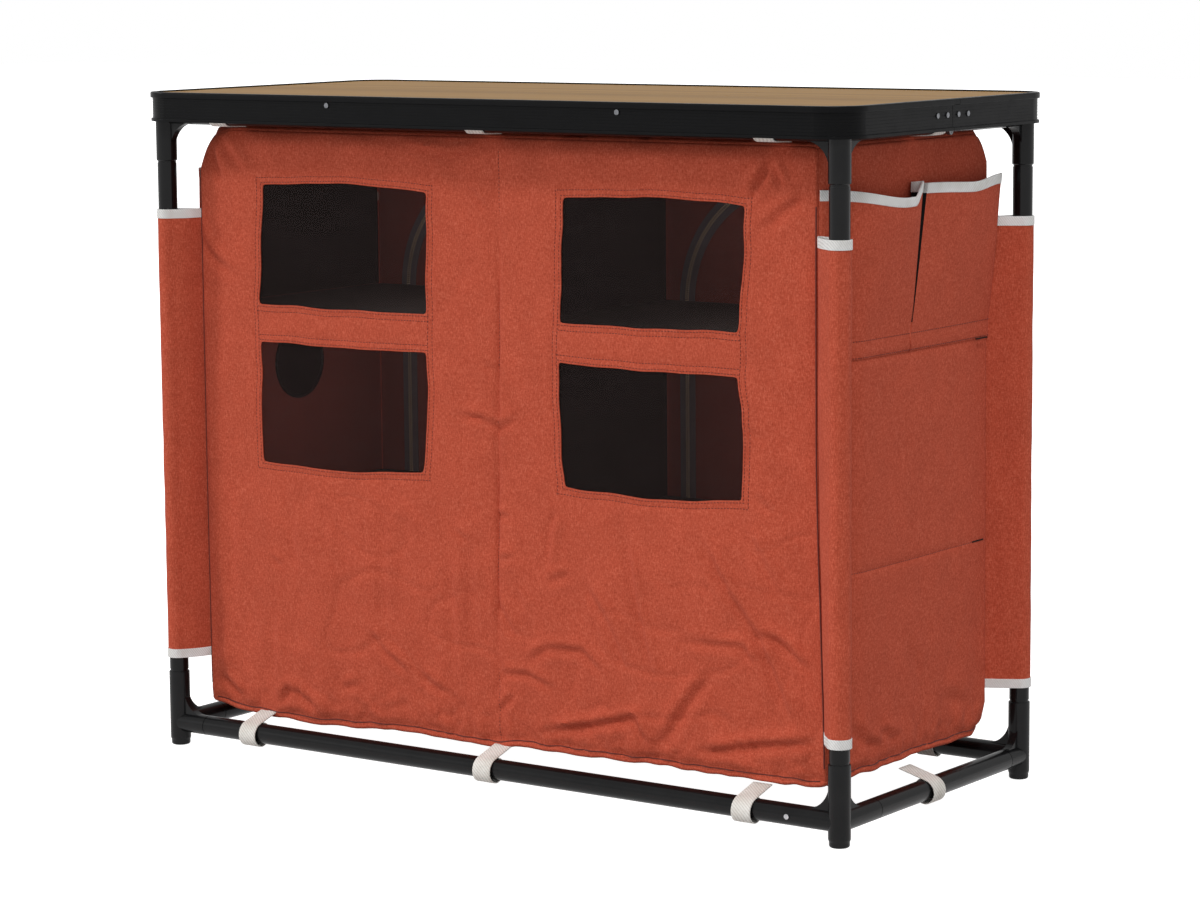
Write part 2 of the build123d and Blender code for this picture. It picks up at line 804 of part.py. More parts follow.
def pocket_cloth(z0, z1, outset, thickness):
    """Right-hand pocket cloth between two heights, opening out towards its top."""
    low = pocket_faces(z0, outset, thickness)
    high = pocket_faces(z1, outset, thickness)
    cloth = Part()
    for bottom_face, top_face in zip(low, high):
        cloth += loft([bottom_face, top_face], ruled=True)
    return cloth


def pocket_panel(x_side):
    cloth = pocket_cloth(pocket_bottom, pocket_top, 0, cloth_thickness)
    return cloth if x_side > 0 else mirror(cloth, about=Plane.YZ)


def pocket_binding(x_side):
    outset = sewing_gap + binding_thickness
    band = pocket_cloth(pocket_top - binding_height, pocket_top, outset, binding_thickness)
    return band if x_side > 0 else mirror(band, about=Plane.YZ)


def sleeve_outline(growth):
    """Plan of the back right sleeve: a loop round the leg drawn in to the cabinet's corner."""
    loop = Pos(leg_x, leg_y) * Circle(sleeve_radius + growth)
    seam_x = side_x + sleeve_seam_inset
    seam_y = cabinet_back_y + sleeve_seam_inset
    seam = Pos(seam_x, seam_y) * Circle(sleeve_seam_radius + growth)
    return make_hull(loop.edges() + seam.edges())


def sleeve_tube(outer, inner, z0, z1):
    outline = sleeve_outline(outer) - sleeve_outline(inner)
    return Pos(0, 0, z0) * extrude(outline, amount=z1 - z0)


def at_corner(shape, x_side, y_side):
    """Copy of a back right piece at another corner."""
    if x_side < 0:
        shape = mirror(shape, about=Plane.YZ)
    if y_side < 0:
        shape = mirror(shape, about=Plane.XZ)
    return shape


def leg_sleeve(x_side, y_side):
    tube = sleeve_tube(0, -sleeve_cloth, sleeve_bottom, sleeve_top)
    return at_corner(tube, x_side, y_side)


def sleeve_binding_bands(x_side, y_side):
    bands = []
    for low in (sleeve_bottom, sleeve_top - binding_height):
        outer = binding_gap + binding_thickness
        band = sleeve_tube(outer, binding_gap, low, low + binding_height)
        bands.append(at_corner(band, x_side, y_side))
    return bands


# Straps


def strap_section(rail_across, rail_z, edge_across, edge_z):
    """Loop round a rail and a tail to the cabinet's edge, drawn across and up."""
    loop_inner = rail_radius + strap_looseness
    loop_outer = loop_inner + strap_thickness
    up = 1 if edge_z > rail_z else -1
    start = (rail_across - loop_inner - strap_thickness / 2, rail_z)
    end = (edge_across - strap_thickness, edge_z - up * (sewing_gap + strap_thickness / 2))
    length = ((end[0] - start[0]) ** 2 + (end[1] - start[1]) ** 2) ** 0.5
    half = strap_thickness / 2
    across = -(end[1] - start[1]) / length * half
    rise = (end[0] - start[0]) / length * half
    tail = make_face(
        Polyline(
            (start[0] + across, start[1] + rise),
            (end[0] + across, end[1] + rise),
            (end[0] - across, end[1] - rise),
            (start[0] - across, start[1] - rise),
            (start[0] + across, start[1] + rise),
        )
    )
    middle = Pos(rail_across, rail_z)
    return middle * Circle(loop_outer) + tail - middle * Circle(loop_inner)


def straps(rail_z, edge_z, places):
    """Straps on the long rails at the places given, and one in the middle of each short rail."""
    half = strap_width / 2
    long_section = strap_section(leg_y, rail_z, inside_back, edge_z)
    back_loop = extrude(Plane.YZ * long_section, amount=half, both=True)
    short_section = strap_section(leg_x, rail_z, inside_half, edge_z)
    side_loop = extrude(Plane.XZ * short_section, amount=half, both=True)
    loops = [side_loop, mirror(side_loop, about=Plane.YZ)]
    for place in places:
        loops.append(Pos(place, 0, 0) * back_loop)
        loops.append(Pos(place, 0, 0) * mirror(back_loop, about=Plane.XZ))
    return loops


def cable_port():
    """Round black port: a disc in the left side panel with a flange on the inside."""
    outer = -side_x - cloth_thickness / 2
    inner = -side_inner_x + sewing_gap
    disc = lying_x(port_radius - sewing_gap, outer, inner, port_y, port_height)
    flange_end = inner + port_flange_thickness
    return disc + lying_x(port_radius + port_flange, inner, flange_end, port_y, port_height)


def build():
    os.makedirs("parts", exist_ok=True)
    for depth_name, y_side in FRONT_BACK.items():
        for width_name, x_side in LEFT_RIGHT.items():
            corner = f"{depth_name}_{width_name}"
            x, y = x_side * leg_x, y_side * leg_y
            save(f"leg_{corner}", leg_tube(x, y))
            save(f"lower_connector_{corner}", lower_connector(x, y))
            save(f"upper_connector_{corner}", upper_connector(x, y))
            save(f"leg_sleeve_{corner}", leg_sleeve(x_side, y_side))
    corners = [(x, y) for x in LEFT_RIGHT.values() for y in FRONT_BACK.values()]
    save("foot_plugs", *[foot_plug(x * leg_x, y * leg_y) for x, y in corners])
    save("sleeve_bindings", *[band for pair in corners for band in sleeve_binding_bands(*pair)])

    for level, z in (("bottom", bottom_rail_height), ("top", top_rail_height)):
        long_rails = [drilled_long_rail(y * leg_y, z) for y in FRONT_BACK.values()]
        short_rails = [short_rail(x * leg_x, z) for x in LEFT_RIGHT.values()]
        save(f"{level}_rails_long", *long_rails)
        save(f"{level}_rails_short", *short_rails)
    save("rail_rivets", *rail_rivets())

    for name, side in FRONT_BACK.items():
        save(f"tabletop_board_{name}", tabletop_board(side))
        save(f"edge_profile_{name}", edge_profile(side))
        save(f"cross_bars_{name}", *cross_bars(side))
        leaves = [hinge_leaf(x_side, side) for x_side in LEFT_RIGHT.values()]
        save(f"hinge_leaves_{name}", *leaves)
        save(f"rivets_{name}_half", *edge_rivets(side))
    save("hinge_pins", *[hinge_pin(x_side) for x_side in LEFT_RIGHT.values()])

    save("front_panel", front_panel())
    save("back_panel", back_panel())
    save("cabinet_floor", cabinet_floor())
    save("cabinet_roof", cabinet_roof())
    save("centre_divider", centre_divider())
    for name, x_side in LEFT_RIGHT.items():
        save(f"window_mesh_{name}", window_mesh(x_side))
        save(f"side_panel_{name}", side_panel(x_side))
        save(f"back_door_{name}", back_door(x_side))
        save(f"zip_tape_door_{name}", zip_half(x_side, True))
        save(f"zip_slider_{name}", zip_slider(x_side))
        save(f"shelf_lower_{name}", shelf(x_side, lower_shelf_top))
        save(f"shelf_upper_{name}", shelf(x_side, upper_shelf_top))
        save(f"pocket_panel_{name}", pocket_panel(x_side))
    save("zip_tapes_panel", *[zip_half(x_side, False) for x_side in LEFT_RIGHT.values()])
    save("pocket_bindings", *[pocket_binding(x_side) for x_side in LEFT_RIGHT.values()])
    save("cable_port", cable_port())

    bottom_places = (-bottom_strap_x, 0, bottom_strap_x)
    save("bottom_straps", *straps(bottom_rail_height, cabinet_bottom, bottom_places))
    top_places = (-top_strap_x, 0, top_strap_x)
    save("top_straps", *straps(top_rail_height, cabinet_top, top_places))


build()
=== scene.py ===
"""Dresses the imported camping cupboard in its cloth, seams, straps, zips and finishes."""

from __future__ import annotations

import json
import logging
import math
from contextlib import contextmanager
from dataclasses import dataclass, field
from enum import Enum
from typing import Callable, Iterable, Iterator, Sequence

import bmesh
import bpy
from mathutils import Matrix, Vector, noise

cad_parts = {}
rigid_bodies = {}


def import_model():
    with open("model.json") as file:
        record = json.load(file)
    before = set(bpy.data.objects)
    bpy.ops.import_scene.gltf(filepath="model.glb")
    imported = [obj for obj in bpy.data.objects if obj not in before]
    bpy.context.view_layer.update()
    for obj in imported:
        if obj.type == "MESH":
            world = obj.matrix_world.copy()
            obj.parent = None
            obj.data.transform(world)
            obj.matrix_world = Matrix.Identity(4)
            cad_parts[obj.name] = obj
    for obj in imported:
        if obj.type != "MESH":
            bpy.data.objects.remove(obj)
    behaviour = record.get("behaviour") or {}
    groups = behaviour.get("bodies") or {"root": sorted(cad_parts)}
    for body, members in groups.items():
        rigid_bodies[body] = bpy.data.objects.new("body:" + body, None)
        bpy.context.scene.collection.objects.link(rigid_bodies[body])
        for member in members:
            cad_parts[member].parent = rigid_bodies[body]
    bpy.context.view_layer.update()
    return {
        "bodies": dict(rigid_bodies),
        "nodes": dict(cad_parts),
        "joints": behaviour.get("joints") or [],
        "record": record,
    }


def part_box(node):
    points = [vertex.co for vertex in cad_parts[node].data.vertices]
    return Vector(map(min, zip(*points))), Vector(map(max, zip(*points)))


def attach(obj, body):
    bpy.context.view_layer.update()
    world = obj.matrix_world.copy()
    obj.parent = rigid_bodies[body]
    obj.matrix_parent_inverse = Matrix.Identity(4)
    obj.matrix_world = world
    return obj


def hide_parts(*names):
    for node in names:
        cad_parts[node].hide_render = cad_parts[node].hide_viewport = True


log = logging.getLogger("camping_cupboard")

MM = 0.001
ROOT = "frame_and_cabinet"
RIPPLE_SEED = 4
LEG_X = 0.4755
LEG_Y = 0.199

Pair = tuple[float, float]
Place = Callable[[float, float], Vector]
Piece = bpy.types.Object
Socket = bpy.types.NodeSocket


class Named(Enum):
    """Option whose name is part of the names of pieces."""

    @property
    def word(self) -> str:
        """Name in lower case."""
        return self.name.lower()


class Side(Named):
    """Left or right half of the cupboard, seen from the windowed front."""

    LEFT = -1
    RIGHT = 1

    @property
    def face(self) -> Face:
        """Face of the cabinet on this side."""
        return Face[self.name]


class Depth(Named):
    """Windowed front or the back with the doors."""

    FRONT = -1
    BACK = 1


class Face(Named):
    """The six faces of the sewn cabinet."""

    FRONT = "front"
    BACK = "back"
    LEFT = "left"
    RIGHT = "right"
    ROOF = "roof"
    FLOOR = "floor"


def smooth(value: float) -> float:
    """Soft step from 0 to 1.

    Args:
        value: place along the step, 0 at its start and 1 at its end.

    Returns:
        The eased value between 0 and 1.
    """
    t = min(max(value, 0.0), 1.0)
    return t * t * (3.0 - 2.0 * t)


def closeness(place: float, end: float, reach: float) -> float:
    """Eased closeness to an end: 1 at the end, 0 farther from it than the reach."""
    return smooth((place - end + reach) / reach)


def spaced(breaks: Sequence[float], step: float) -> list[float]:
    """Divide each stretch between breaks into equal parts no longer than step.

    Args:
        breaks: places that must be kept, in any order.
        step: longest part in metres.

    Returns:
        All places from the lowest break to the highest.
    """
    stops = sorted(breaks)
    places = [stops[0]]
    for start, end in zip(stops, stops[1:]):
        count = max(1, math.ceil((end - start) / step - 1e-6))
        places += [start + (end - start) * (i + 1) / count for i in range(count)]
    return places


def hue(code: str) -> tuple[float, float, float, float]:
    """Linear colour of a six-digit colour code.

    Args:
        code: red, green and blue as two hexadecimal digits each.

    Returns:
        Linear red, green, blue and full opacity.
    """
    parts = [int(code[i : i + 2], 16) / 255.0 for i in (0, 2, 4)]
    linear = [p / 12.92 if p <= 0.04045 else ((p + 0.055) / 1.055) ** 2.4 for p in parts]
    return (linear[0], linear[1], linear[2], 1.0)


class ShaderBench:
    """Workbench for the nodes of one material."""

    def __init__(self, name: str) -> None:
        """Start a material with a Principled shader and its output."""
        self.material = bpy.data.materials.new(name)
        self.material.use_nodes = True
        self.tree = self.material.node_tree
        self.tree.nodes.clear()
        output = self.tree.nodes.new("ShaderNodeOutputMaterial")
        self.shader = self.tree.nodes.new("ShaderNodeBsdfPrincipled")
        self.tree.links.new(self.shader.outputs["BSDF"], output.inputs["Surface"])

    def set(self, **values: float) -> None:
        """Set constant values on the shader's own sockets, underscores standing for spaces."""
        for key, value in values.items():
            self.shader.inputs[key.replace("_", " ")].default_value = value

    def feed(self, socket: str, source: Socket) -> None:
        """Link a source into one of the shader's sockets."""
        self.tree.links.new(source, self.shader.inputs[socket])

    def object_place(self, scale: tuple[float, float, float] = (1.0, 1.0, 1.0)) -> Socket:
        """Object coordinates, scaled along each axis."""
        coordinates = self.tree.nodes.new("ShaderNodeTexCoord")
        mapping = self.tree.nodes.new("ShaderNodeMapping")
        mapping.inputs["Scale"].default_value = scale
        self.tree.links.new(coordinates.outputs["Object"], mapping.inputs["Vector"])
        return mapping.outputs["Vector"]

    def grain(
        self, place: Socket, scale: float, detail: float = 2.0, rough: float = 0.5
    ) -> Socket:
        """Noise value at a place.

        Args:
            place: vector socket.
            scale: cycles per metre after the place's own scale.
            detail: octaves.
            rough: weight of the finer octaves.

        Returns:
            The value socket.
        """
        node = self.tree.nodes.new("ShaderNodeTexNoise")
        node.inputs["Scale"].default_value = scale
        node.inputs["Detail"].default_value = detail
        node.inputs["Roughness"].default_value = rough
        self.tree.links.new(place, node.inputs["Vector"])
        return node.outputs["Fac"]

    def ribs(self, place: Socket, scale: float, axis: str, distortion: float) -> Socket:
        """Sine ribs across one axis.

        Args:
            place: vector socket.
            scale: ribs per metre, divided by about pi.
            axis: X, Y, Z or DIAGONAL.
            distortion: how far the ribs wander.

        Returns:
            The value socket.
        """
        node = self.tree.nodes.new("ShaderNodeTexWave")
        node.bands_direction = axis
        node.inputs["Scale"].default_value = scale
        node.inputs["Distortion"].default_value = distortion
        self.tree.links.new(place, node.inputs["Vector"])
        return node.outputs["Fac"]

    def ramp(
        self, value: Socket, stops: Sequence[tuple[float, tuple[float, ...]]]
    ) -> Socket:
        """Colour ramp over a value.

        Args:
            value: value socket.
            stops: places from 0 to 1 with their linear colours.

        Returns:
            The colour socket.
        """
        node = self.tree.nodes.new("ShaderNodeValToRGB")
        elements = node.color_ramp.elements
        elements[0].position, elements[0].color = stops[0]
        elements[1].position, elements[1].color = stops[-1]
        for position, colour in stops[1:-1]:
            elements.new(position).color = colour
        self.tree.links.new(value, node.inputs["Fac"])
        return node.outputs["Color"]

    def tint(self, value: Socket, *stops: tuple[float, str]) -> None:
        """Colour the surface by a value, through places from 0 to 1 with their colour codes."""
        colours = [(place, hue(code)) for place, code in stops]
        self.feed("Base Color", self.ramp(value, colours))

    def roughen(self, value: Socket, *stops: Pair) -> None:
        """Vary the roughness by a value, through places from 0 to 1 with their roughness."""
        greys = [(place, (rough, rough, rough, 1.0)) for place, rough in stops]
        self.feed("Roughness", self.ramp(value, greys))

    def soil(self, colour: Socket, stain: Socket) -> None:
        """Colour the surface by a colour that a paler one darkens in patches."""
        node = self.tree.nodes.new("ShaderNodeMix")
        node.data_type = "RGBA"
        node.blend_type = "MULTIPLY"
        node.inputs[0].default_value = 1.0
        self.tree.links.new(colour, node.inputs[6])
        self.tree.links.new(stain, node.inputs[7])
        self.feed("Base Color", node.outputs[2])

    def sum(
        self, first: Socket, second: Socket, weight: float
    ) -> Socket:
        """First value plus a weighted second one."""
        node = self.tree.nodes.new("ShaderNodeMath")
        node.operation = "MULTIPLY_ADD"
        node.inputs[1].default_value = weight
        self.tree.links.new(second, node.inputs[0])
        self.tree.links.new(first, node.inputs[2])
        return node.outputs[0]

    def emboss(self, height: Socket, depth: float, strength: float) -> None:
        """Raise the surface by a height value.

        Args:
            height: value socket.
            depth: metres between heights 0 and 1.
            strength: share of the effect.
        """
        node = self.tree.nodes.new("ShaderNodeBump")
        node.inputs["Strength"].default_value = strength
        node.inputs["Distance"].default_value = depth
        self.tree.links.new(height, node.inputs["Height"])
        self.feed("Normal", node.outputs["Normal"])


@dataclass(frozen=True)
class HeatheredCloth:
    """Woven polyester of mixed yarns: short upright flecks over a soft mottle."""

    name: str
    dark: str
    middle: str
    light: str
    flecks_per_metre: float = 820.0
    fleck_length: float = 3.0
    weave_depth: float = 0.00012
    fuzz: float = 0.02

    def material(self) -> bpy.types.Material:
        """Build the cloth's nodes.

        Returns:
            The material.
        """
        bench = ShaderBench(self.name)
        squeeze = 1.0 / self.fleck_length
        upright = bench.object_place((1.0, 1.0, squeeze))
        level = bench.object_place((squeeze, squeeze, 1.0))
        plain = bench.object_place()
        warp = bench.grain(upright, self.flecks_per_metre, 3.0, 0.65)
        weft = bench.grain(level, self.flecks_per_metre * 0.8, 2.0, 0.6)
        mottle = bench.grain(plain, 30.0, 5.0, 0.6)
        yarns = bench.sum(warp, weft, 0.45)
        colour = bench.ramp(
            yarns, [(0.48, hue(self.dark)), (0.72, hue(self.middle)), (0.94, hue(self.light))]
        )
        tone = bench.ramp(mottle, [(0.3, hue("F3F3F3")), (0.7, hue("FFFFFF"))])
        bench.soil(colour, tone)
        bench.set(Roughness=0.92, Sheen_Weight=self.fuzz, Sheen_Roughness=0.6)
        bench.set(Specular_IOR_Level=0.08)
        bench.emboss(yarns, self.weave_depth, 0.7)
        return bench.material


@dataclass(frozen=True)
class RibbedTape:
    """Narrow woven tape with fine cross ribs: edge binding, webbing and zip tape."""

    name: str
    dark: str
    light: str
    ribs_per_metre: float = 520.0
    rib_depth: float = 0.00018
    axis: str = "DIAGONAL"
    roughness: float = 0.75

    def material(self) -> bpy.types.Material:
        """Build the tape's nodes.

        Returns:
            The material.
        """
        bench = ShaderBench(self.name)
        place = bench.object_place()
        ribs = bench.ribs(place, self.ribs_per_metre / math.pi, self.axis, 0.6)
        dirt = bench.grain(place, 35.0, 4.0, 0.6)
        thread = bench.grain(place, 900.0, 2.0, 0.6)
        height = bench.sum(ribs, thread, 0.5)
        colour = bench.ramp(height, [(0.1, hue(self.dark)), (0.9, hue(self.light))])
        tone = bench.ramp(dirt, [(0.3, hue("E8E6E2")), (0.65, hue("FFFFFF"))])
        bench.soil(colour, tone)
        bench.set(Roughness=self.roughness, Sheen_Weight=0.1, Specular_IOR_Level=0.3)
        bench.emboss(height, self.rib_depth, 0.8)
        return bench.material


@dataclass(frozen=True)
class SatinLacquer:
    """Black lacquer on a drawn tube, with a faint orange peel and wear."""

    name: str
    base: str
    worn: str
    roughness: float = 0.3

    def material(self) -> bpy.types.Material:
        """Build the lacquer's nodes.

        Returns:
            The material.
        """
        bench = ShaderBench(self.name)
        plain = bench.object_place()
        peel = bench.grain(plain, 420.0, 2.0, 0.5)
        wear = bench.grain(plain, 26.0, 5.0, 0.65)
        bench.tint(wear, (0.4, self.base), (0.85, self.worn))
        bench.roughen(wear, (0.3, self.roughness), (0.8, self.roughness + 0.14))
        bench.set(Specular_IOR_Level=0.04, Coat_Weight=0.24, Coat_Roughness=0.06)
        bench.emboss(peel, 0.00002, 0.5)
        return bench.material


@dataclass(frozen=True)
class MouldedNylon:
    """Black moulded nylon with a fine spark-eroded texture."""

    name: str
    base: str
    light: str
    roughness: float = 0.42

    def material(self) -> bpy.types.Material:
        """Build the nylon's nodes.

        Returns:
            The material.
        """
        bench = ShaderBench(self.name)
        plain = bench.object_place()
        texture = bench.grain(plain, 1500.0, 2.0, 0.6)
        cloud = bench.grain(plain, 40.0, 3.0, 0.5)
        bench.tint(cloud, (0.3, self.base), (0.8, self.light))
        bench.set(Roughness=self.roughness, Specular_IOR_Level=0.04)
        bench.set(Coat_Weight=0.22, Coat_Roughness=0.07)
        bench.emboss(texture, 0.00003, 0.5)
        return bench.material


@dataclass(frozen=True)
class AnodisedEdge:
    """Black anodised aluminium with fine drawing lines along the profile."""

    name: str = "black_anodised_aluminium"
    base: str = "0B0B0C"
    streak: str = "121213"

    def material(self) -> bpy.types.Material:
        """Build the anodised nodes.

        Returns:
            The material.
        """
        bench = ShaderBench(self.name)
        drawn = bench.object_place((0.02, 0.02, 1.0))
        plain = bench.object_place()
        lines = bench.grain(drawn, 1400.0, 2.0, 0.7)
        dust = bench.grain(plain, 60.0, 4.0, 0.6)
        bench.tint(lines, (0.3, self.base), (0.8, self.streak))
        bench.roughen(dust, (0.3, 0.32), (0.8, 0.46))
        bench.set(Specular_IOR_Level=0.05, Coat_Weight=0.015, Coat_Roughness=0.15)
        bench.emboss(lines, 0.00002, 0.5)
        return bench.material


@dataclass(frozen=True)
class BambooLaminate:
    """Bamboo strips laid side by side along the board, with nodes and fine fibres."""

    name: str = "bamboo_strips"
    strip_width: float = 0.018
    dark: str = "73521F"
    light: str = "916C33"

    def material(self) -> bpy.types.Material:
        """Build the bamboo's nodes.

        Returns:
            The material.
        """
        bench = ShaderBench(self.name)
        nodes, links = bench.tree.nodes, bench.tree.links
        plain = bench.object_place()
        split = nodes.new("ShaderNodeSeparateXYZ")
        links.new(plain, split.inputs["Vector"])
        strip = nodes.new("ShaderNodeMath")
        strip.operation = "DIVIDE"
        strip.inputs[1].default_value = self.strip_width
        links.new(split.outputs["Y"], strip.inputs[0])
        number = nodes.new("ShaderNodeMath")
        number.operation = "FLOOR"
        links.new(strip.outputs[0], number.inputs[0])
        chance = nodes.new("ShaderNodeTexWhiteNoise")
        chance.noise_dimensions = "1D"
        links.new(number.outputs[0], chance.inputs["W"])
        fibres = bench.grain(bench.object_place((4.0, 160.0, 160.0)), 6.0, 5.0, 0.6)
        figure = bench.grain(bench.object_place((1.5, 14.0, 14.0)), 5.0, 4.0, 0.6)
        tone = bench.sum(fibres, chance.outputs["Value"], 0.5)
        tone = bench.sum(tone, figure, 0.35)
        bench.tint(tone, (0.45, self.dark), (1.15, self.light))
        bench.set(Roughness=0.55, Specular_IOR_Level=0.07, Coat_Weight=0.02, Coat_Roughness=0.3)
        bench.emboss(fibres, 0.00004, 0.4)
        return bench.material


@dataclass(frozen=True)
class SeeThroughMesh:
    """Fine black netting that lets the inside show through."""

    name: str = "black_netting"
    base: str = "241E1D"
    thread: str = "38302F"
    cover: float = 0.27

    def material(self) -> bpy.types.Material:
        """Build the netting's nodes.

        Returns:
            The material.
        """
        bench = ShaderBench(self.name)
        rows = bench.grain(bench.object_place((0.03, 0.03, 1.0)), 700.0, 2.0, 0.7)
        knots = bench.grain(bench.object_place(), 1100.0, 1.0, 0.5)
        weave = bench.sum(rows, knots, 0.5)
        bench.tint(weave, (0.5, self.base), (0.95, self.thread))
        bench.set(Roughness=0.9, Alpha=self.cover, Specular_IOR_Level=0.0)
        bench.emboss(weave, 0.0001, 0.5)
        return bench.material


@dataclass(frozen=True)
class BareMetal:
    """Plain metal of rivets, leaves and sliders with a brushed finish."""

    name: str
    base: str
    light: str
    roughness: float = 0.35
    metallic: float = 1.0

    def material(self) -> bpy.types.Material:
        """Build the metal's nodes.

        Returns:
            The material.
        """
        bench = ShaderBench(self.name)
        plain = bench.object_place()
        spots = bench.grain(plain, 300.0, 4.0, 0.6)
        bench.tint(spots, (0.3, self.base), (0.8, self.light))
        bench.set(Roughness=self.roughness, Metallic=self.metallic)
        bench.emboss(spots, 0.00003, 0.5)
        return bench.material


@dataclass
class Finishes:
    """Every finish on the cupboard, by the record's slot name where it has one."""

    made: dict[str, bpy.types.Material] = field(default_factory=dict)

    def build(self) -> None:
        """Build all finishes once."""
        finishes = {
            "terracotta_cloth": HeatheredCloth("terracotta_heather", "A2412C", "BA513A", "CC664E"),
            "lining_cloth": HeatheredCloth("dark_red_lining", "69332D", "7A3E37", "894B44"),
            # Black lining cloth; its black on the upper inner side walls and inside the pocket pleats
            # is painted shade.
            "black_lining": HeatheredCloth("black_lining", "191717", "1C1A1A", "1F1D1C"),
            "white_binding": RibbedTape("white_binding", "D0D0D0", "EEEEED"),
            "webbing": RibbedTape("off_white_webbing", "D2CFC8", "F0EEE9", 420.0, 0.00028),
            "zip_tape": RibbedTape("grey_zip_tape", "4B4A50", "646269", 700.0),
            # Dark red thread of the stitches; the same finish colours the tubes of painted shade
            # beside the sleeves and above the welt.
            "seam_thread": RibbedTape("seam_thread", "521A13", "6B251A", 900.0),
            "black_tube": SatinLacquer("black_lacquer", "0C0C0D", "141415"),
            "black_plastic": MouldedNylon("black_nylon", "0D0D0E", "161617"),
            "black_anodised_edge": AnodisedEdge(),
            "bamboo_laminate": BambooLaminate(),
            "black_mesh": SeeThroughMesh(),
            "hinge_steel": BareMetal("hinge_steel", "4A4B4D", "77787A"),
            "rivet_steel": BareMetal("steel_rivets", "56575A", "85868A", 0.3),
            # A brighter copy of the rivet steel for the rail rivets: painted highlight for their small
            # light dots.
            "bright_rivet": BareMetal("bright_rivets", "8A8B8D", "B4B5B8", 0.25),
            "zip_metal": BareMetal("zip_coil", "B9A37C", "DCCBA6", 0.4, 0.2),
        }
        self.made = {slot: finish.material() for slot, finish in finishes.items()}
        log.info("finishes: %d built", len(self.made))


def deselect() -> None:
    """Deselect every object."""
    for item in bpy.context.view_layer.objects:
        item.select_set(False)


def pick(piece: Piece) -> None:
    """Select one object alone and make it the active one."""
    deselect()
    piece.select_set(True)
    bpy.context.view_layer.objects.active = piece


@contextmanager
def all_selected(piece: Piece) -> Iterator[None]:
    """Edit mode with the whole of one piece selected."""
    pick(piece)
    bpy.ops.object.mode_set(mode="EDIT")
    bpy.ops.mesh.select_all(action="SELECT")
    yield
    bpy.ops.object.mode_set(mode="OBJECT")


@contextmanager
def opened(piece: Piece) -> Iterator[bmesh.types.BMesh]:
    """The mesh of a piece, open for changes that are written back."""
    mesh = bmesh.new()
    mesh.from_mesh(piece.data)
    yield mesh
    mesh.to_mesh(piece.data)
    mesh.free()


def new_piece(name: str, data: bpy.types.ID) -> Piece:
    """Put a mesh or a curve into the scene."""
    piece = bpy.data.objects.new(name, data)
    bpy.context.scene.collection.objects.link(piece)
    return piece


def fixed_primitive() -> Piece:
    """The primitive just added, with its place, turn and size taken into its mesh."""
    bpy.ops.object.transform_apply(location=True, rotation=True, scale=True)
    return bpy.context.active_object


def joined(pieces: Sequence[Piece], name: str) -> Piece:
    """Join pieces into the first of them and name it."""
    pick(pieces[0])
    for other in pieces[1:]:
        other.select_set(True)
    bpy.ops.object.join()
    pieces[0].name = name
    return pieces[0]


def finish_with(piece: Piece, kind: str, **settings: object) -> None:
    """Add one modifier with its settings and apply it.

    Args:
        piece: object to change.
        kind: modifier type.
        settings: the modifier's own settings.
    """
    pick(piece)
    modifier = piece.modifiers.new(kind.lower(), kind)
    for key, value in settings.items():
        setattr(modifier, key, value)
    bpy.ops.object.modifier_apply(modifier=modifier.name)


def soften(piece: Piece, degrees: float = 40.0) -> None:
    """Shade smooth where faces meet at less than an angle."""
    pick(piece)
    bpy.ops.object.shade_smooth_by_angle(angle=math.radians(degrees))


def thicken(piece: Piece, thickness: float, offset: float = -1.0, inner: int = 0) -> None:
    """Give a sheet its thickness.

    Args:
        piece: the sheet.
        thickness: metres.
        offset: -1 grows it inwards, 0 both ways, 1 outwards.
        inner: material slots between the outer and the inner face.
    """
    finish_with(
        piece,
        "SOLIDIFY",
        thickness=thickness,
        offset=offset,
        use_even_offset=False,
        material_offset=inner,
        material_offset_rim=0,
    )


@dataclass
class Tailor:
    finishes: Finishes

    def dress(self, piece: Piece, *slots: str) -> None:
        """Give a piece its finishes in order."""
        piece.data.materials.clear()
        for slot in slots:
            piece.data.materials.append(self.finishes.made[slot])

    def hang(
        self, piece: Piece, body: str, slot: str, replaces: Sequence[str] = (), angle: float = 40.0
    ) -> None:
        """Shade, ride and report one piece.

        Args:
            piece: finished mesh.
            body: body that it rides on.
            slot: record slot of its finish.
            replaces: nodes that it stands for.
            angle: shading angle in degrees.
        """
        if not piece.data.materials:
            self.dress(piece, slot)
        soften(piece, angle)
        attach(piece, body)
        if replaces:
            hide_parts(*replaces)
        log.info("piece %s on %s, %d faces", piece.name, body, len(piece.data.polygons))

    def sew_on(self, piece: Piece, body: str = ROOT, angle: float = 40.0) -> None:
        """Hang stitches, or the dark tubes of painted shade, with the cloth that they lie on."""
        self.dress(piece, "seam_thread")
        self.hang(piece, body, "terracotta_cloth", (), angle)


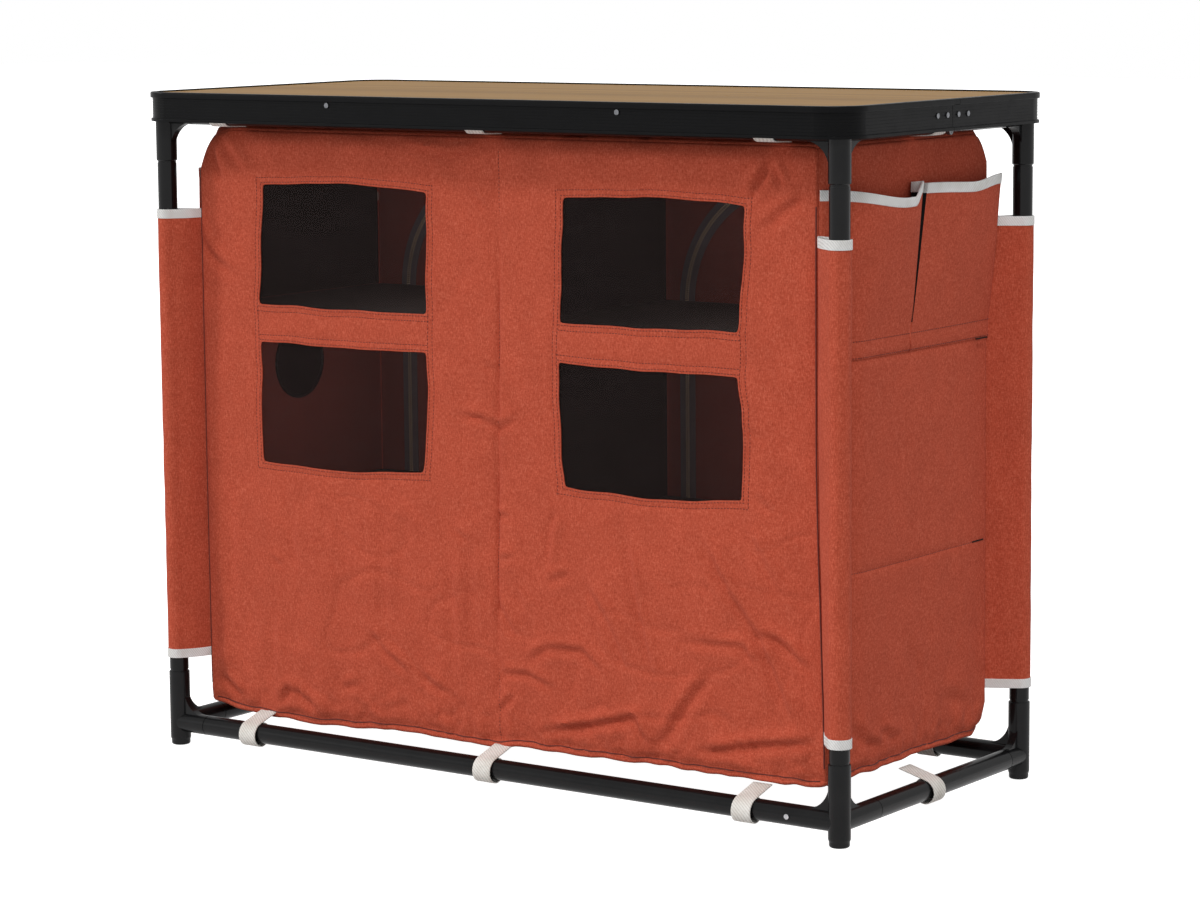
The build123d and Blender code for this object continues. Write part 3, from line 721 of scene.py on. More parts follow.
class Blank:
    """Flat cloth blank: a grid of (s, t) places that is cut, then laid onto its form."""

    def __init__(self, name: str, columns: Sequence[float], rows: Sequence[float]) -> None:
        """Add the grid and space its lines.

        Args:
            name: object name.
            columns: places across.
            rows: places up.
        """
        deselect()
        bpy.ops.mesh.primitive_grid_add(
            x_subdivisions=len(columns) - 1, y_subdivisions=len(rows) - 1, size=1.0
        )
        self.piece = bpy.context.active_object
        self.piece.name = name
        self.piece.data.name = name
        last_column, last_row = len(columns) - 1, len(rows) - 1
        for vertex in self.piece.data.vertices:
            column = round((vertex.co.x + 0.5) * last_column)
            row = round((vertex.co.y + 0.5) * last_row)
            vertex.co = Vector((columns[column], rows[row], 0.0))

    def fit(self, distance: Callable[[float, float], float], reach: float) -> None:
        """Pull grid points that lie near an outline onto it and split the faces it crosses.

        Args:
            distance: signed distance to the outline, negative inside.
            reach: how far a point may be pulled.
        """
        on_line = set()
        step = 1e-5
        with opened(self.piece) as mesh:
            for vertex in mesh.verts:
                s, t = vertex.co.x, vertex.co.y
                gap = distance(s, t)
                if abs(gap) > reach:
                    continue
                slope = Vector((distance(s + step, t) - gap, distance(s, t + step) - gap, 0.0))
                if slope.length > 0:
                    vertex.co -= slope.normalized() * gap
                on_line.add(vertex)
            for face in list(mesh.faces):
                marked = [v for v in face.verts if v in on_line]
                if len(face.verts) == 4 and len(marked) == 2 and not face_neighbours(marked):
                    bmesh.utils.face_split(face, marked[0], marked[1])

    def drop(self, test: Callable[[float, float], bool]) -> None:
        """Delete the faces whose middle passes the test."""
        with opened(self.piece) as mesh:
            middles = {face: face.calc_center_median() for face in mesh.faces}
            gone = [face for face, middle in middles.items() if test(middle.x, middle.y)]
            bmesh.ops.delete(mesh, geom=gone, context="FACES")

    def lay(self, place: Place) -> Piece:
        """Move every point to its place on the form.

        Args:
            place: point in space of each (s, t).

        Returns:
            The shaped object.
        """
        for vertex in self.piece.data.vertices:
            vertex.co = place(vertex.co.x, vertex.co.y)
        self.piece.data.update()
        return self.piece


def face_neighbours(pair: Sequence[bmesh.types.BMVert]) -> bool:
    """Whether two points of a face share an edge."""
    return any(pair[1] in edge.verts for edge in pair[0].link_edges)


def rounded_distance(
    s: float, t: float, low: Pair, high: Pair, radius: float
) -> float:
    """Signed distance to a rounded rectangle, negative inside.

    Args:
        s: place across.
        t: place up.
        low: lower left corner.
        high: upper right corner.
        radius: corner radius.

    Returns:
        Distance in metres.
    """
    across = abs(s - (low[0] + high[0]) / 2) - (high[0] - low[0]) / 2 + radius
    up = abs(t - (low[1] + high[1]) / 2) - (high[1] - low[1]) / 2 + radius
    outside = math.hypot(max(across, 0.0), max(up, 0.0))
    return outside + min(max(across, up), 0.0) - radius


@dataclass(frozen=True)
class Crease:
    """A fold line in the cloth, through places in millimetres."""

    path: tuple[Pair, ...]
    depth: float = 1.6
    width: float = 7.0
    plain: bool = False
    reach: float = 4.5

    def relief(self, s: float, t: float) -> float:
        """Height of the fold at a place, in metres.

        Args:
            s: place across in metres.
            t: place up in metres.

        Returns:
            Height along the panel's outward normal.
        """
        x, z = s / MM, t / MM
        best, along, below = 1e9, 0.0, 1.0
        total = len(self.path) - 1
        for index, (start, end) in enumerate(zip(self.path, self.path[1:])):
            run = (end[0] - start[0], end[1] - start[1])
            square = run[0] ** 2 + run[1] ** 2
            share = ((x - start[0]) * run[0] + (z - start[1]) * run[1]) / square
            share = min(max(share, 0.0), 1.0)
            gap = math.hypot(x - start[0] - share * run[0], z - start[1] - share * run[1])
            if gap < best:
                cross = run[0] * (z - start[1]) - run[1] * (x - start[0])
                best, along, below = gap, (index + share) / total, math.copysign(1.0, cross)
        if best > self.reach * self.width:
            return 0.0
        fade = smooth(along * 3.5 + 0.1) * smooth((1.0 - along) * 3.5 + 0.1)
        signed = best * below / self.width
        valley = -math.exp(-(signed**2))
        ridge = 0.95 * math.exp(-(((signed - 1.7) / 1.15) ** 2))
        far_side = 0.25 * math.exp(-(((signed + 1.9) / 1.1) ** 2))
        if self.plain:
            return valley * self.depth * fade * MM
        return (valley + ridge + far_side) * self.depth * fade * MM

    def touches(self, low: Pair, high: Pair) -> bool:
        """Whether the fold reaches into a rectangle, in millimetres."""
        grow = self.reach * self.width + 1.0
        across, up = zip(*self.path)
        return (
            min(across) - grow <= high[0]
            and max(across) + grow >= low[0]
            and min(up) - grow <= high[1]
            and max(up) + grow >= low[1]
        )


@dataclass(frozen=True)
class WindowCut:
    """One window opening: its rectangle, how its corners moved and how its edges bulge."""

    low: Pair
    high: Pair
    shifts: tuple[Pair, ...]
    bulges: tuple[float, float, float, float]
    corner: float = 0.0035
    reach: float = 0.040

    def distance(self, s: float, t: float) -> float:
        """Signed distance to the opening before it is pulled out of true."""
        return rounded_distance(s, t, self.low, self.high, self.corner)

    def pull(self, s: float, t: float) -> Pair:
        """How far the worn cloth has pulled this place out of true.

        Args:
            s: place across.
            t: place up.

        Returns:
            Move across and up in metres.
        """
        near_s = min(max(s, self.low[0]), self.high[0])
        near_t = min(max(t, self.low[1]), self.high[1])
        weight = smooth(1.0 - math.hypot(s - near_s, t - near_t) / self.reach)
        if weight <= 0.0:
            return 0.0, 0.0
        u = (near_s - self.low[0]) / (self.high[0] - self.low[0])
        v = (near_t - self.low[1]) / (self.high[1] - self.low[1])
        moves = []
        for axis in (0, 1):
            below = self.shifts[0][axis] * (1 - u) + self.shifts[1][axis] * u
            above = self.shifts[2][axis] * (1 - u) + self.shifts[3][axis] * u
            moves.append(below * (1 - v) + above * v)
        bottom, top, left, right = self.bulges
        moves[0] += (left * (1 - u) + right * u) * 4 * v * (1 - v)
        moves[1] += (bottom * (1 - v) + top * v) * 4 * u * (1 - u)
        moves[0] += 2.6 * noise.noise(Vector((near_s / 0.08, near_t / 0.034, 2.0)))
        moves[1] += 1.8 * noise.noise(Vector((near_s / 0.045, near_t / 0.08, 7.0)))
        return moves[0] * MM * weight, moves[1] * MM * weight


@dataclass
class CabinetForm:
    """The sewn box: where its cloth settles once it hangs in the frame."""

    half_width: float = 0.4495
    half_depth: float = 0.173
    bottom: float = 0.052
    top: float = 0.757
    edge_radius: float = 0.007
    top_corners: tuple[float, float, float, float] = (0.050, 0.016, 0.036, 0.036)
    bottom_corners: tuple[float, float, float, float] = (0.014, 0.014, 0.040, 0.040)
    corner_power: float = 3.2
    pull_in_right: float = 0.0155
    pull_back_share: float = 0.15
    pull_in_back: float = 0.002
    corner_reach: Pair = (0.09, 0.07)
    sag_reach: float = 0.075
    side_lift: float = 0.006
    seam_pinch: float = 0.0016
    seam_reach: float = 0.005
    ripple_length: float = 0.024
    ripple_height: float = 0.0022
    ripple_reach: float = 0.030

    def out(self, face: Face) -> Vector:
        """Outward direction of a face."""
        return {
            Face.FRONT: Vector((0, -1, 0)),
            Face.BACK: Vector((0, 1, 0)),
            Face.LEFT: Vector((-1, 0, 0)),
            Face.RIGHT: Vector((1, 0, 0)),
            Face.ROOF: Vector((0, 0, 1)),
            Face.FLOOR: Vector((0, 0, -1)),
        }[face]

    def corner_point(self, face: Face, s: float, t: float) -> Vector:
        """Point on the sharp box for a place on one of its faces."""
        if face is Face.FRONT:
            return Vector((s, -self.half_depth, t))
        if face is Face.BACK:
            return Vector((-s, self.half_depth, t))
        if face is Face.RIGHT:
            return Vector((self.half_width, s, t))
        if face is Face.LEFT:
            return Vector((-self.half_width, -s, t))
        if face is Face.ROOF:
            return Vector((s, t, self.top))
        return Vector((s, -t, self.bottom))

    def limits(self, face: Face) -> tuple[float, float, float, float]:
        """Lowest and highest s and t of a face."""
        wide = self.half_width if face not in (Face.LEFT, Face.RIGHT) else self.half_depth
        if face in (Face.ROOF, Face.FLOOR):
            return -wide, wide, -self.half_depth, self.half_depth
        return -wide, wide, self.bottom, self.top

    def flat(self, face: Face) -> Pair:
        """Width and height of a face before it bows and folds."""
        low_s, high_s, low_t, high_t = self.limits(face)
        return high_s - low_s, high_t - low_t

    def to_edge(self, face: Face, s: float, t: float) -> float:
        """Distance from a place to the nearest edge of its face."""
        low_s, high_s, low_t, high_t = self.limits(face)
        return min(s - low_s, high_s - s, t - low_t, high_t - t)

    def sag(self, x: float) -> float:
        """How far the bottom edge hangs below its true line at a place across, in metres."""
        stops = (
            (-450, -1.0),
            (-380, 8.0),
            (-277, 9.5),
            (-132, 3.0),
            (-8, 7.0),
            (24, 1.5),
            (276, -1.0),
            (450, -2.0),
        )
        place = x / MM
        for (start, before), (end, after) in zip(stops, stops[1:]):
            if place <= end:
                return (before + (after - before) * smooth((place - start) / (end - start))) * MM
        return stops[-1][1] * MM

    def settle(self, sharp: Vector) -> Vector:
        """Where a point of the sharp box lies on the hanging cloth.

        Args:
            sharp: point on the sharp box.

        Returns:
            The settled point.
        """
        inner = Vector((self.half_width, self.half_depth, (self.top - self.bottom) / 2))
        centre = Vector((0, 0, (self.top + self.bottom) / 2))
        local = sharp - centre
        sign = Vector([-1.0 if c < 0 else 1.0 for c in local])
        size = Vector([abs(c) for c in local])
        point = self.rounded(size, inner, self.edge_radius, sharp_ends=False)
        corners = self.top_corners if sign.z > 0 else self.bottom_corners
        radius = corners[(1 if sign.x > 0 else 0) + (2 if sign.y > 0 else 0)]
        point = self.rounded(point, inner, radius, sharp_ends=True)
        pinch = [max(0.0, 1.0 - (inner[i] - size[i]) / self.seam_reach) for i in range(3)]
        pinch.sort()
        point -= Vector((1, 1, 1)).normalized() * self.seam_pinch * pinch[1] ** 2
        near_x = closeness(size.x, inner.x, self.corner_reach[0])
        near_y = closeness(size.y, inner.y, self.corner_reach[1])
        if sign.x > 0:
            height_share = 0.35 + 0.65 * smooth((sharp.z - 0.05) / 0.40)
            depth_share = 1.0 if sign.y < 0 else self.pull_back_share
            point.x -= self.pull_in_right * near_x * near_y * height_share * depth_share
        if sign.y > 0:
            point.y -= self.pull_in_back * near_x * near_y
        settled = centre + Vector([sign[i] * point[i] for i in range(3)])
        low = smooth(1.0 - (settled.z - self.bottom) / self.sag_reach)
        on_side = closeness(size.x, inner.x, 0.05) * (1 - near_y)
        settled.z += (self.side_lift * on_side - self.sag(sharp.x)) * low
        place = sharp / self.ripple_length
        ripple = noise.noise_vector(Vector((place.x, place.y, place.z * 0.6 + 4.0)))
        close = smooth(1.0 - (sharp.z - self.bottom) / self.ripple_reach)
        outer = smooth((max(near_x, near_y) - 0.55) / 0.45)
        return settled + ripple * self.ripple_height * close * outer

    def rounded(self, size: Vector, inner: Vector, radius: float, sharp_ends: bool) -> Vector:
        """Round the box near its edges, or near its corners alone.

        Args:
            size: distances from the middle along each axis.
            inner: half sizes of the box.
            radius: rounding radius.
            sharp_ends: leave the edges and round only where three faces meet.

        Returns:
            The rounded distances.
        """
        core = Vector([min(size[i], inner[i] - radius) for i in range(3)])
        over = size - core
        if over.length < 1e-9:
            return size
        if not sharp_ends:
            return core + over.normalized() * radius
        power = self.corner_power
        length = sum(max(part, 0.0) ** power for part in over) ** (1.0 / power)
        ball = core + over * (radius / length)
        share = (over.x * over.y * over.z) / radius**3
        return size.lerp(ball, smooth(share) ** 0.5)


@dataclass
class CabinetSkin:
    """Relief of each face over the settled form: bows, folds, puckers and stitched grooves."""

    form: CabinetForm
    windows: tuple[WindowCut, ...] = ()
    creases: dict[Face, tuple[Crease, ...]] = field(default_factory=dict)
    grooves: dict[Face, tuple[Crease, ...]] = field(default_factory=dict)
    calm: dict[Face, Callable[[float, float], float]] = field(default_factory=dict)
    front_bow: float = 0.0062
    fade: float = 0.016
    hem_groove: tuple[float, float, float] = (0.0085, 0.0022, 0.0030)
    fold_share: float = 2.15
    cell: float = 0.020
    nearby: dict[tuple[Face, int, int, bool], tuple[Crease, ...]] = field(default_factory=dict)

    def close_by(self, face: Face, s: float, t: float, grooves: bool) -> tuple[Crease, ...]:
        """Folds or grooves that reach the small square round a place."""
        key = (face, math.floor(s / self.cell), math.floor(t / self.cell), grooves)
        if key not in self.nearby:
            low = (key[1] * self.cell / MM, key[2] * self.cell / MM)
            high = (low[0] + self.cell / MM, low[1] + self.cell / MM)
            lines = (self.grooves if grooves else self.creases).get(face, ())
            self.nearby[key] = tuple(line for line in lines if line.touches(low, high))
        return self.nearby[key]

    def bow(self, face: Face, s: float, t: float) -> float:
        """Broad outward bow of a face."""
        low_s, high_s, low_t, high_t = self.form.limits(face)
        edge = self.form.to_edge(face, s, t)
        up = max(0.0, math.sin(math.pi * (t - low_t) / (high_t - low_t)))
        if face is Face.FRONT:
            share = abs(s) / (high_s - low_s) * 2
            both_halves = max(0.0, math.sin(math.pi * min(share, 1.0)))
            return self.front_bow * both_halves**0.5 * up**0.4
        if face is Face.ROOF:
            return 0.0035 * smooth(edge / 0.012) + 0.002 * smooth(edge / 0.1)
        if face is Face.FLOOR:
            return 0.002 * smooth(edge / 0.05)
        if face is Face.BACK:
            return 0.0
        across = max(0.0, math.sin(math.pi * (s - low_s) / (high_s - low_s)))
        return 0.0018 * across * up**0.5

    def folds(self, face: Face, s: float, t: float) -> float:
        """Small folds, strongest near the bottom hem and at the corners."""
        seed = 3.7 * (list(Face).index(face) + 1)
        low_s, high_s, low_t, high_t = self.form.limits(face)
        from_bottom = t - low_t

        def wave(wide: float, high: float, layer: int, aside: float = 0.0, rise: float = 0.0) -> float:
            """Noise with waves about so many metres wide and high."""
            return noise.noise(Vector((s / wide + aside, t / high + rise, seed + layer)))

        wander = wave(0.13, 0.13, 5) * 0.7
        drape = wave(0.034, 0.30, 0, wander)
        broad = wave(0.15, 0.17, 11)
        crumple = wave(0.045, 0.045, 23, wander, -wander)
        fine = wave(0.019, 0.026, 31, 0.0, wander)
        pucker = wave(0.015, 0.06, 41)
        line = wave(0.075, 0.060, 51, wander)
        patch = smooth(0.5 + 2.2 * wave(0.20, 0.20, 61))
        tuck = wave(0.024, 0.020, 71, 0.5 * wander)
        hanging = {Face.FRONT: 1.0, Face.BACK: 0.9}.get(face, 0.35)
        sharp = max(0.0, 1.0 - abs(line) / 0.10) ** 1.3
        lower = 0.35 + 0.65 * smooth(1.35 - from_bottom / 0.30)
        depth = -2.1 * sharp * patch * hanging * lower
        depth += 2.2 * drape * hanging * smooth(1.3 - from_bottom / 0.42)
        depth += 3.0 * broad * hanging + 1.3 * crumple * hanging
        hem = math.exp(-from_bottom / 0.032) if face is not Face.ROOF else 0.25
        depth += hem * (4.6 * pucker + 3.2 * fine)
        depth -= 2.4 * smooth(1.4 - from_bottom / 0.05) * max(0.0, 1.0 - abs(tuck) / 0.14)
        corner = smooth(1 - (min(s - low_s, high_s - s)) / 0.13) * smooth(1 - from_bottom / 0.13)
        depth += 3.2 * corner * crumple
        under_top = smooth(1 - (high_t - t) / 0.07) if face is not Face.ROOF else 0.0
        depth += 2.6 * under_top * crumple * hanging + 0.45 * fine * hanging
        return depth * MM

    def relief(self, face: Face, s: float, t: float) -> float:
        """Whole height of the cloth over the settled form at a place."""
        low_s, high_s, low_t, _ = self.form.limits(face)
        mask = smooth(self.form.to_edge(face, s, t) / self.fade)
        hem_line = 0.0
        if face not in (Face.ROOF, Face.FLOOR):
            rise, deep, wide = self.hem_groove
            ends = smooth(min(s - low_s, high_s - s) / 0.012)
            hem_line = deep * ends * math.exp(-(((t - low_t - rise) / wide) ** 2))
        height = self.bow(face, s, t)
        calm = self.calm.get(face, lambda a, b: 1.0)(s, t)
        wrinkles = self.folds(face, s, t)
        for crease in self.close_by(face, s, t, False):
            wrinkles += self.fold_share * crease.relief(s, t)
        height += wrinkles * calm
        for groove in self.close_by(face, s, t, True):
            height += groove.relief(s, t)
        return height * mask - hem_line

    def place(self, face: Face, s: float, t: float, lift: float = 0.0) -> Vector:
        """Point of the cloth at a place on a face.

        Args:
            face: face of the cabinet.
            s: place across.
            t: place up.
            lift: metres above the outer surface.

        Returns:
            Point in space.
        """
        move_s, move_t = 0.0, 0.0
        if face is Face.FRONT:
            for window in self.windows:
                pull = window.pull(s, t)
                move_s += pull[0]
                move_t += pull[1]
        sharp = self.form.corner_point(face, s + move_s, t + move_t)
        return self.form.settle(sharp) + self.form.out(face) * (self.relief(face, s, t) + lift)

    def normal(self, face: Face, s: float, t: float) -> Vector:
        """Outward normal of the cloth at a place."""
        step = 0.0015
        across = self.place(face, s + step, t) - self.place(face, s - step, t)
        up = self.place(face, s, t + step) - self.place(face, s, t - step)
        return across.cross(up).normalized()


class Needle:
    """Lays thread dashes along lines on the cloth."""

    def __init__(self, pitch: float = 0.0042, length: float = 0.0032, thick: float = 0.0010) -> None:
        """Model one dash that every stitch copies.

        Args:
            pitch: metres from stitch to stitch.
            length: metres of one stitch.
            thick: thread diameter.
        """
        self.pitch = pitch
        deselect()
        bpy.ops.mesh.primitive_uv_sphere_add(segments=6, ring_count=4, radius=0.5)
        dash = bpy.context.active_object
        self.corners = [
            Vector((v.co.x * length, v.co.y * thick, v.co.z * thick * 0.8)) for v in dash.data.vertices
        ]
        self.faces = [tuple(p.vertices) for p in dash.data.polygons]
        bpy.data.objects.remove(dash, do_unlink=True)

    def sew(self, name: str, lines: Iterable[Sequence[tuple[Vector, Vector]]]) -> Piece:
        """Copy the dash along each line.

        Args:
            name: object name.
            lines: for each line, close points with the outward normal at each.

        Returns:
            One object with all the stitches.
        """
        points: list[Vector] = []
        faces: list[tuple[int, ...]] = []
        for line in lines:
            carried = self.pitch / 2
            for (start, out), (end, _) in zip(line, line[1:]):
                run = end - start
                length = run.length
                if length < 1e-7:
                    continue
                along = run / length
                side = out.cross(along).normalized()
                up = along.cross(side)
                turn = Matrix((along, side, up)).transposed()
                while carried < length:
                    middle = start + along * carried
                    base = len(points)
                    points += [middle + turn @ corner for corner in self.corners]
                    faces += [tuple(base + i for i in face) for face in self.faces]
                    carried += self.pitch
                carried -= length
        mesh = bpy.data.meshes.new(name)
        mesh.from_pydata(points, [], faces)
        return new_piece(name, mesh)


def straight_line(
    start: Pair, end: Pair, step: float = 0.002
) -> list[Pair]:
    """Close places along a straight line, both ends included."""
    length = math.hypot(end[0] - start[0], end[1] - start[1])
    count = max(2, math.ceil(length / step))
    return [
        (start[0] + (end[0] - start[0]) * i / count, start[1] + (end[1] - start[1]) * i / count)
        for i in range(count + 1)
    ]


def frame_lines(low: Pair, high: Pair) -> list[Pair]:
    """Close places along a rectangle, back to its start."""
    corners = [low, (high[0], low[1]), high, (low[0], high[1]), low]
    places: list[Pair] = []
    for start, end in zip(corners, corners[1:]):
        places += straight_line(start, end)[:-1]
    return places + [low]


@dataclass
class CabinetCloth:
    """The six sewn faces of the cabinet, its windows, doors, seams and inside sheets."""

    tailor: Tailor
    form: CabinetForm
    skin: CabinetSkin
    cloth: float = 0.0011
    grid: float = 0.0052
    fine_grid: float = 0.0039
    windows_left: Pair = (-0.3500, -0.1010)
    windows_right: Pair = (0.0875, 0.3380)
    lower: Pair = (0.360, 0.503)
    upper: Pair = (0.549, 0.689)
    frame_gap: float = 0.0085
    edge_stitch: float = 0.0025
    bar_stitch: float = 0.0085
    line_half: float = 0.0012
    waist_drop: float = 0.03
    centre_low: float = -0.0045
    centre_high: float = 0.0050
    shelf_seams: tuple[float, ...] = (0.521, 0.286)
    pocket_seam: float = 0.541
    pocket_stitch: float = 0.004
    tack_ends: Pair = (0.134, 0.1615)
    door_inner: float = 0.030
    door_outer: float = 0.400
    door_bottom: float = 0.075
    door_top: float = 0.690
    door_corner: float = 0.150
    door_foot: float = 0.0008
    chain_half: float = 0.0028
    # Radius of the thin dark tubes: the painted shade lines by the sleeves and above the welt, and the
    # seam ends.
    piping: float = 0.0009
    welt: float = 0.0031
    divider_depth: Pair = (-0.1650, 0.1690)
    divider_height: Pair = (0.0595, 0.7545)
    shelf_middle: float = 0.0030
    shelf_gap_front: float = 0.0075
    shelf_gap_back: float = 0.0045
    shelf_gap_side: float = 0.0035
    port_centre: Pair = (0.010, 0.455)
    port_radius: float = 0.045

    def pair(self, side: Side) -> Pair:
        """Left and right edge of one pair of windows."""
        return self.windows_left if side is Side.LEFT else self.windows_right

    def door_distance(self, x: float, z: float, side: Side) -> float:
        """Signed distance to a door's arch, negative inside the door."""
        middle = (self.door_inner + self.door_outer) / 2
        half = (self.door_outer - self.door_inner) / 2
        arch = rounded_distance(
            x * side.value, z, (middle - half, -1.0), (middle + half, self.door_top), self.door_corner
        )
        return max(arch, self.door_bottom - z)

    def edge_columns(
        self, low: float, high: float, extra: Sequence[float], step: float = 0.0
    ) -> list[float]:
        """Grid lines between two edges, closer together along the seams."""
        near = (0.0022, 0.0045, 0.0070, 0.0100)
        breaks = [low, high, *extra]
        breaks += [low + gap for gap in near] + [high - gap for gap in near]
        return spaced(breaks, step or self.grid)

    def whole_face(
        self, name: str, face: Face, across: Sequence[float] = (), up: Sequence[float] = ()
    ) -> Blank:
        """Blank of a whole face, with more grid lines across and up."""
        low_s, high_s, low_t, high_t = self.form.limits(face)
        columns = self.edge_columns(low_s, high_s, across)
        return Blank(name, columns, self.edge_columns(low_t, high_t, up))

    def beside(self, seams: Sequence[float]) -> list[float]:
        """Grid lines on each seam and close to both sides of it."""
        return [seam + way * self.line_half for seam in seams for way in (-1, 0, 1)]

    def lined(self, blank: Blank, face: Face, *inside: str) -> Piece:
        """Lay a blank on its face and give it its thickness, outer cloth and lining."""
        piece = blank.lay(lambda s, t: self.skin.place(face, s, t))
        self.tailor.dress(piece, "terracotta_cloth", *inside)
        thicken(piece, self.cloth, inner=1)
        return piece

    def seam_at(self, t: float) -> float:
        """Place across of the centre seam, which leans a little, at a height."""
        return self.centre_low + (self.centre_high - self.centre_low) * (t - 0.058) / 0.687

    def front(self) -> None:
        """Windowed front with its netting behind the openings."""
        low_s, high_s, low_t, high_t = self.form.limits(Face.FRONT)
        edges = [*self.windows_left, *self.windows_right]
        frames = [edge + way * self.frame_gap for edge, way in zip(edges, (-1, 1, -1, 1))]
        seam = [self.seam_at(low_t), self.seam_at(high_t)]
        across = edges + self.beside(frames) + seam
        columns = self.edge_columns(low_s, high_s, across, self.fine_grid)
        seams = (
            self.lower[0] - self.frame_gap,
            self.upper[1] + self.frame_gap,
            self.lower[1] + self.bar_stitch,
            self.upper[0] - self.bar_stitch,
        )
        waist = self.lower[0] - self.waist_drop
        rows = self.edge_columns(low_t, waist, [], self.fine_grid)[:-1]
        rows += self.edge_columns(waist, high_t, [*self.lower, *self.upper, *self.beside(seams)])
        blank = Blank("front_cloth", columns, rows)
        for window in self.skin.windows:
            blank.fit(window.distance, self.grid * 0.5)
        blank.drop(lambda s, t: any(w.distance(s, t) < 0 for w in self.skin.windows))
        piece = self.lined(blank, Face.FRONT, "lining_cloth")
        self.tailor.hang(piece, ROOT, "terracotta_cloth", ["front_panel"], 60)
        wide, tall = self.form.flat(Face.FRONT)
        openings = sum(
            (w.high[0] - w.low[0]) * (w.high[1] - w.low[1]) for w in self.skin.windows
        )
        for side in Side:
            self.netting(side)

    def netting(self, side: Side) -> None:
        """Netting behind one pair of windows, sewn in along the stitched frame."""
        left, right = self.pair(side)
        margin = self.frame_gap + 0.001
        across = (left - margin, left, right, right + margin)
        up = (self.lower[0] - margin, *self.lower, *self.upper, self.upper[1] + margin)
        blank = Blank(f"window_netting_{side.word}", spaced(across, 0.008), spaced(up, 0.008))
        piece = blank.lay(lambda s, t: self.skin.place(Face.FRONT, s, t, -self.cloth - 0.0006))
        thicken(piece, 0.0003)
        self.tailor.hang(piece, ROOT, "black_mesh", [f"window_mesh_{side.word}"], 60)

    def flank(self, side: Side) -> None:
        """One side of the cabinet with its shelf seams; its inner face above the pocket seam is black,
        painted shade for the light that the pocket's double cloth keeps out.
        """
        seams = (*self.shelf_seams, self.pocket_seam, self.pocket_seam - self.pocket_stitch)
        blank = self.whole_face(f"side_cloth_{side.word}", side.face, (), self.beside(seams))
        centre, radius = self.port_centre, self.port_radius + 0.0005

        def port(s: float, t: float) -> float:
            """Signed distance to the cable port's hole."""
            return math.hypot(-s - centre[0], t - centre[1]) - radius

        if side is Side.LEFT:
            blank.fit(port, self.grid * 0.5)
            blank.drop(lambda s, t: port(s, t) < 0)
        piece = self.lined(blank, side.face, "lining_cloth", "black_lining")
        # Inner faces above the pocket seam turn black: painted shade, for the light that the pocket's
        # double cloth keeps out of the upper compartment.
        for polygon in piece.data.polygons:
            if polygon.material_index == 1 and polygon.center.z > self.pocket_seam:
                polygon.material_index = 2
        self.tailor.hang(piece, ROOT, "terracotta_cloth", [f"side_panel_{side.word}"], 60)
        self.form.flat(side.face)

    def cut_back(self, name: str) -> Blank:
        """Blank of the back, fitted to both door arches."""
        edges = [-self.door_outer, -self.door_inner, self.door_inner, self.door_outer]
        across = [edge + way * self.chain_half for edge in edges for way in (-1, 1)]
        foot = [self.door_bottom, self.door_bottom + self.door_foot]
        return self.whole_face(name, Face.BACK, across, foot)

    def back(self) -> None:
        """Back of the cabinet round the two arched doors."""

        def gap(s: float, t: float) -> float:
            """Distance outside the nearer door's zip."""
            return min(self.door_distance(-s, t, side) for side in Side) - self.chain_half

        blank = self.cut_back("back_cloth")
        blank.fit(lambda s, t: self.foot_kept(gap, s, t), self.grid * 0.5)
        blank.drop(lambda s, t: gap(s, t) < 0 and t > self.door_bottom)
        piece = self.lined(blank, Face.BACK, "lining_cloth")
        self.tailor.hang(piece, ROOT, "terracotta_cloth", ["back_panel"], 60)
        wide, tall = self.form.flat(Face.BACK)
        for side in Side:
            self.door(side)

    def foot_kept(self, gap: Callable[[float, float], float], s: float, t: float) -> float:
        """Distance to the arch alone, so that the level foot stays on its grid line."""
        return gap(s, t) if t > self.door_bottom + 0.012 else 1.0

    def door(self, side: Side) -> None:
        """One arched door, hanging from its fold along the bottom."""

        def gap(s: float, t: float) -> float:
            """Distance outside this door's own half of the zip."""
            return self.door_distance(-s, t, side) + self.chain_half

        blank = self.cut_back(f"door_cloth_{side.word}")
        blank.fit(lambda s, t: self.foot_kept(gap, s, t), self.grid * 0.5)
        foot = self.door_bottom + self.door_foot
        blank.drop(lambda s, t: gap(s, t) > 0 or t < foot)
        piece = self.lined(blank, Face.BACK, "lining_cloth")
        name = f"back_door_{side.word}"
        self.tailor.hang(piece, name, "terracotta_cloth", [name], 60)
        f"zip_chain_door_{side.word}"

    def lid_and_floor(self) -> None:
        """Roof and floor sheets of the cabinet."""
        for face in (Face.ROOF, Face.FLOOR):
            blank = self.whole_face(f"{face.word}_cloth", face)
            piece = self.lined(blank, face, "black_lining")
            self.tailor.hang(piece, ROOT, "terracotta_cloth", [f"cabinet_{face.word}"], 60)
            self.form.flat(face)

    def divider(self) -> None:
        """Black cloth wall between the two halves, with a slack front edge."""
        front, back = self.divider_depth
        low, high = self.divider_height
        blank = Blank("divider_cloth", spaced([front, back], 0.012), spaced([low, high], 0.012))

        def place(s: float, t: float) -> Vector:
            """Point of the slack cloth."""
            slack = smooth((back - s) / 0.2) * smooth((t - low) / 0.1) * smooth((high - t) / 0.1)
            wave = noise.noise(Vector((s / 0.09, t / 0.16, 2.3)))
            return Vector((0.0012 * wave * slack, s, t))

        piece = blank.lay(place)
        thicken(piece, 0.0014, 0.0)
        self.tailor.dress(piece, "black_lining")
        self.tailor.hang(piece, ROOT, "lining_cloth", ["centre_divider"], 60)

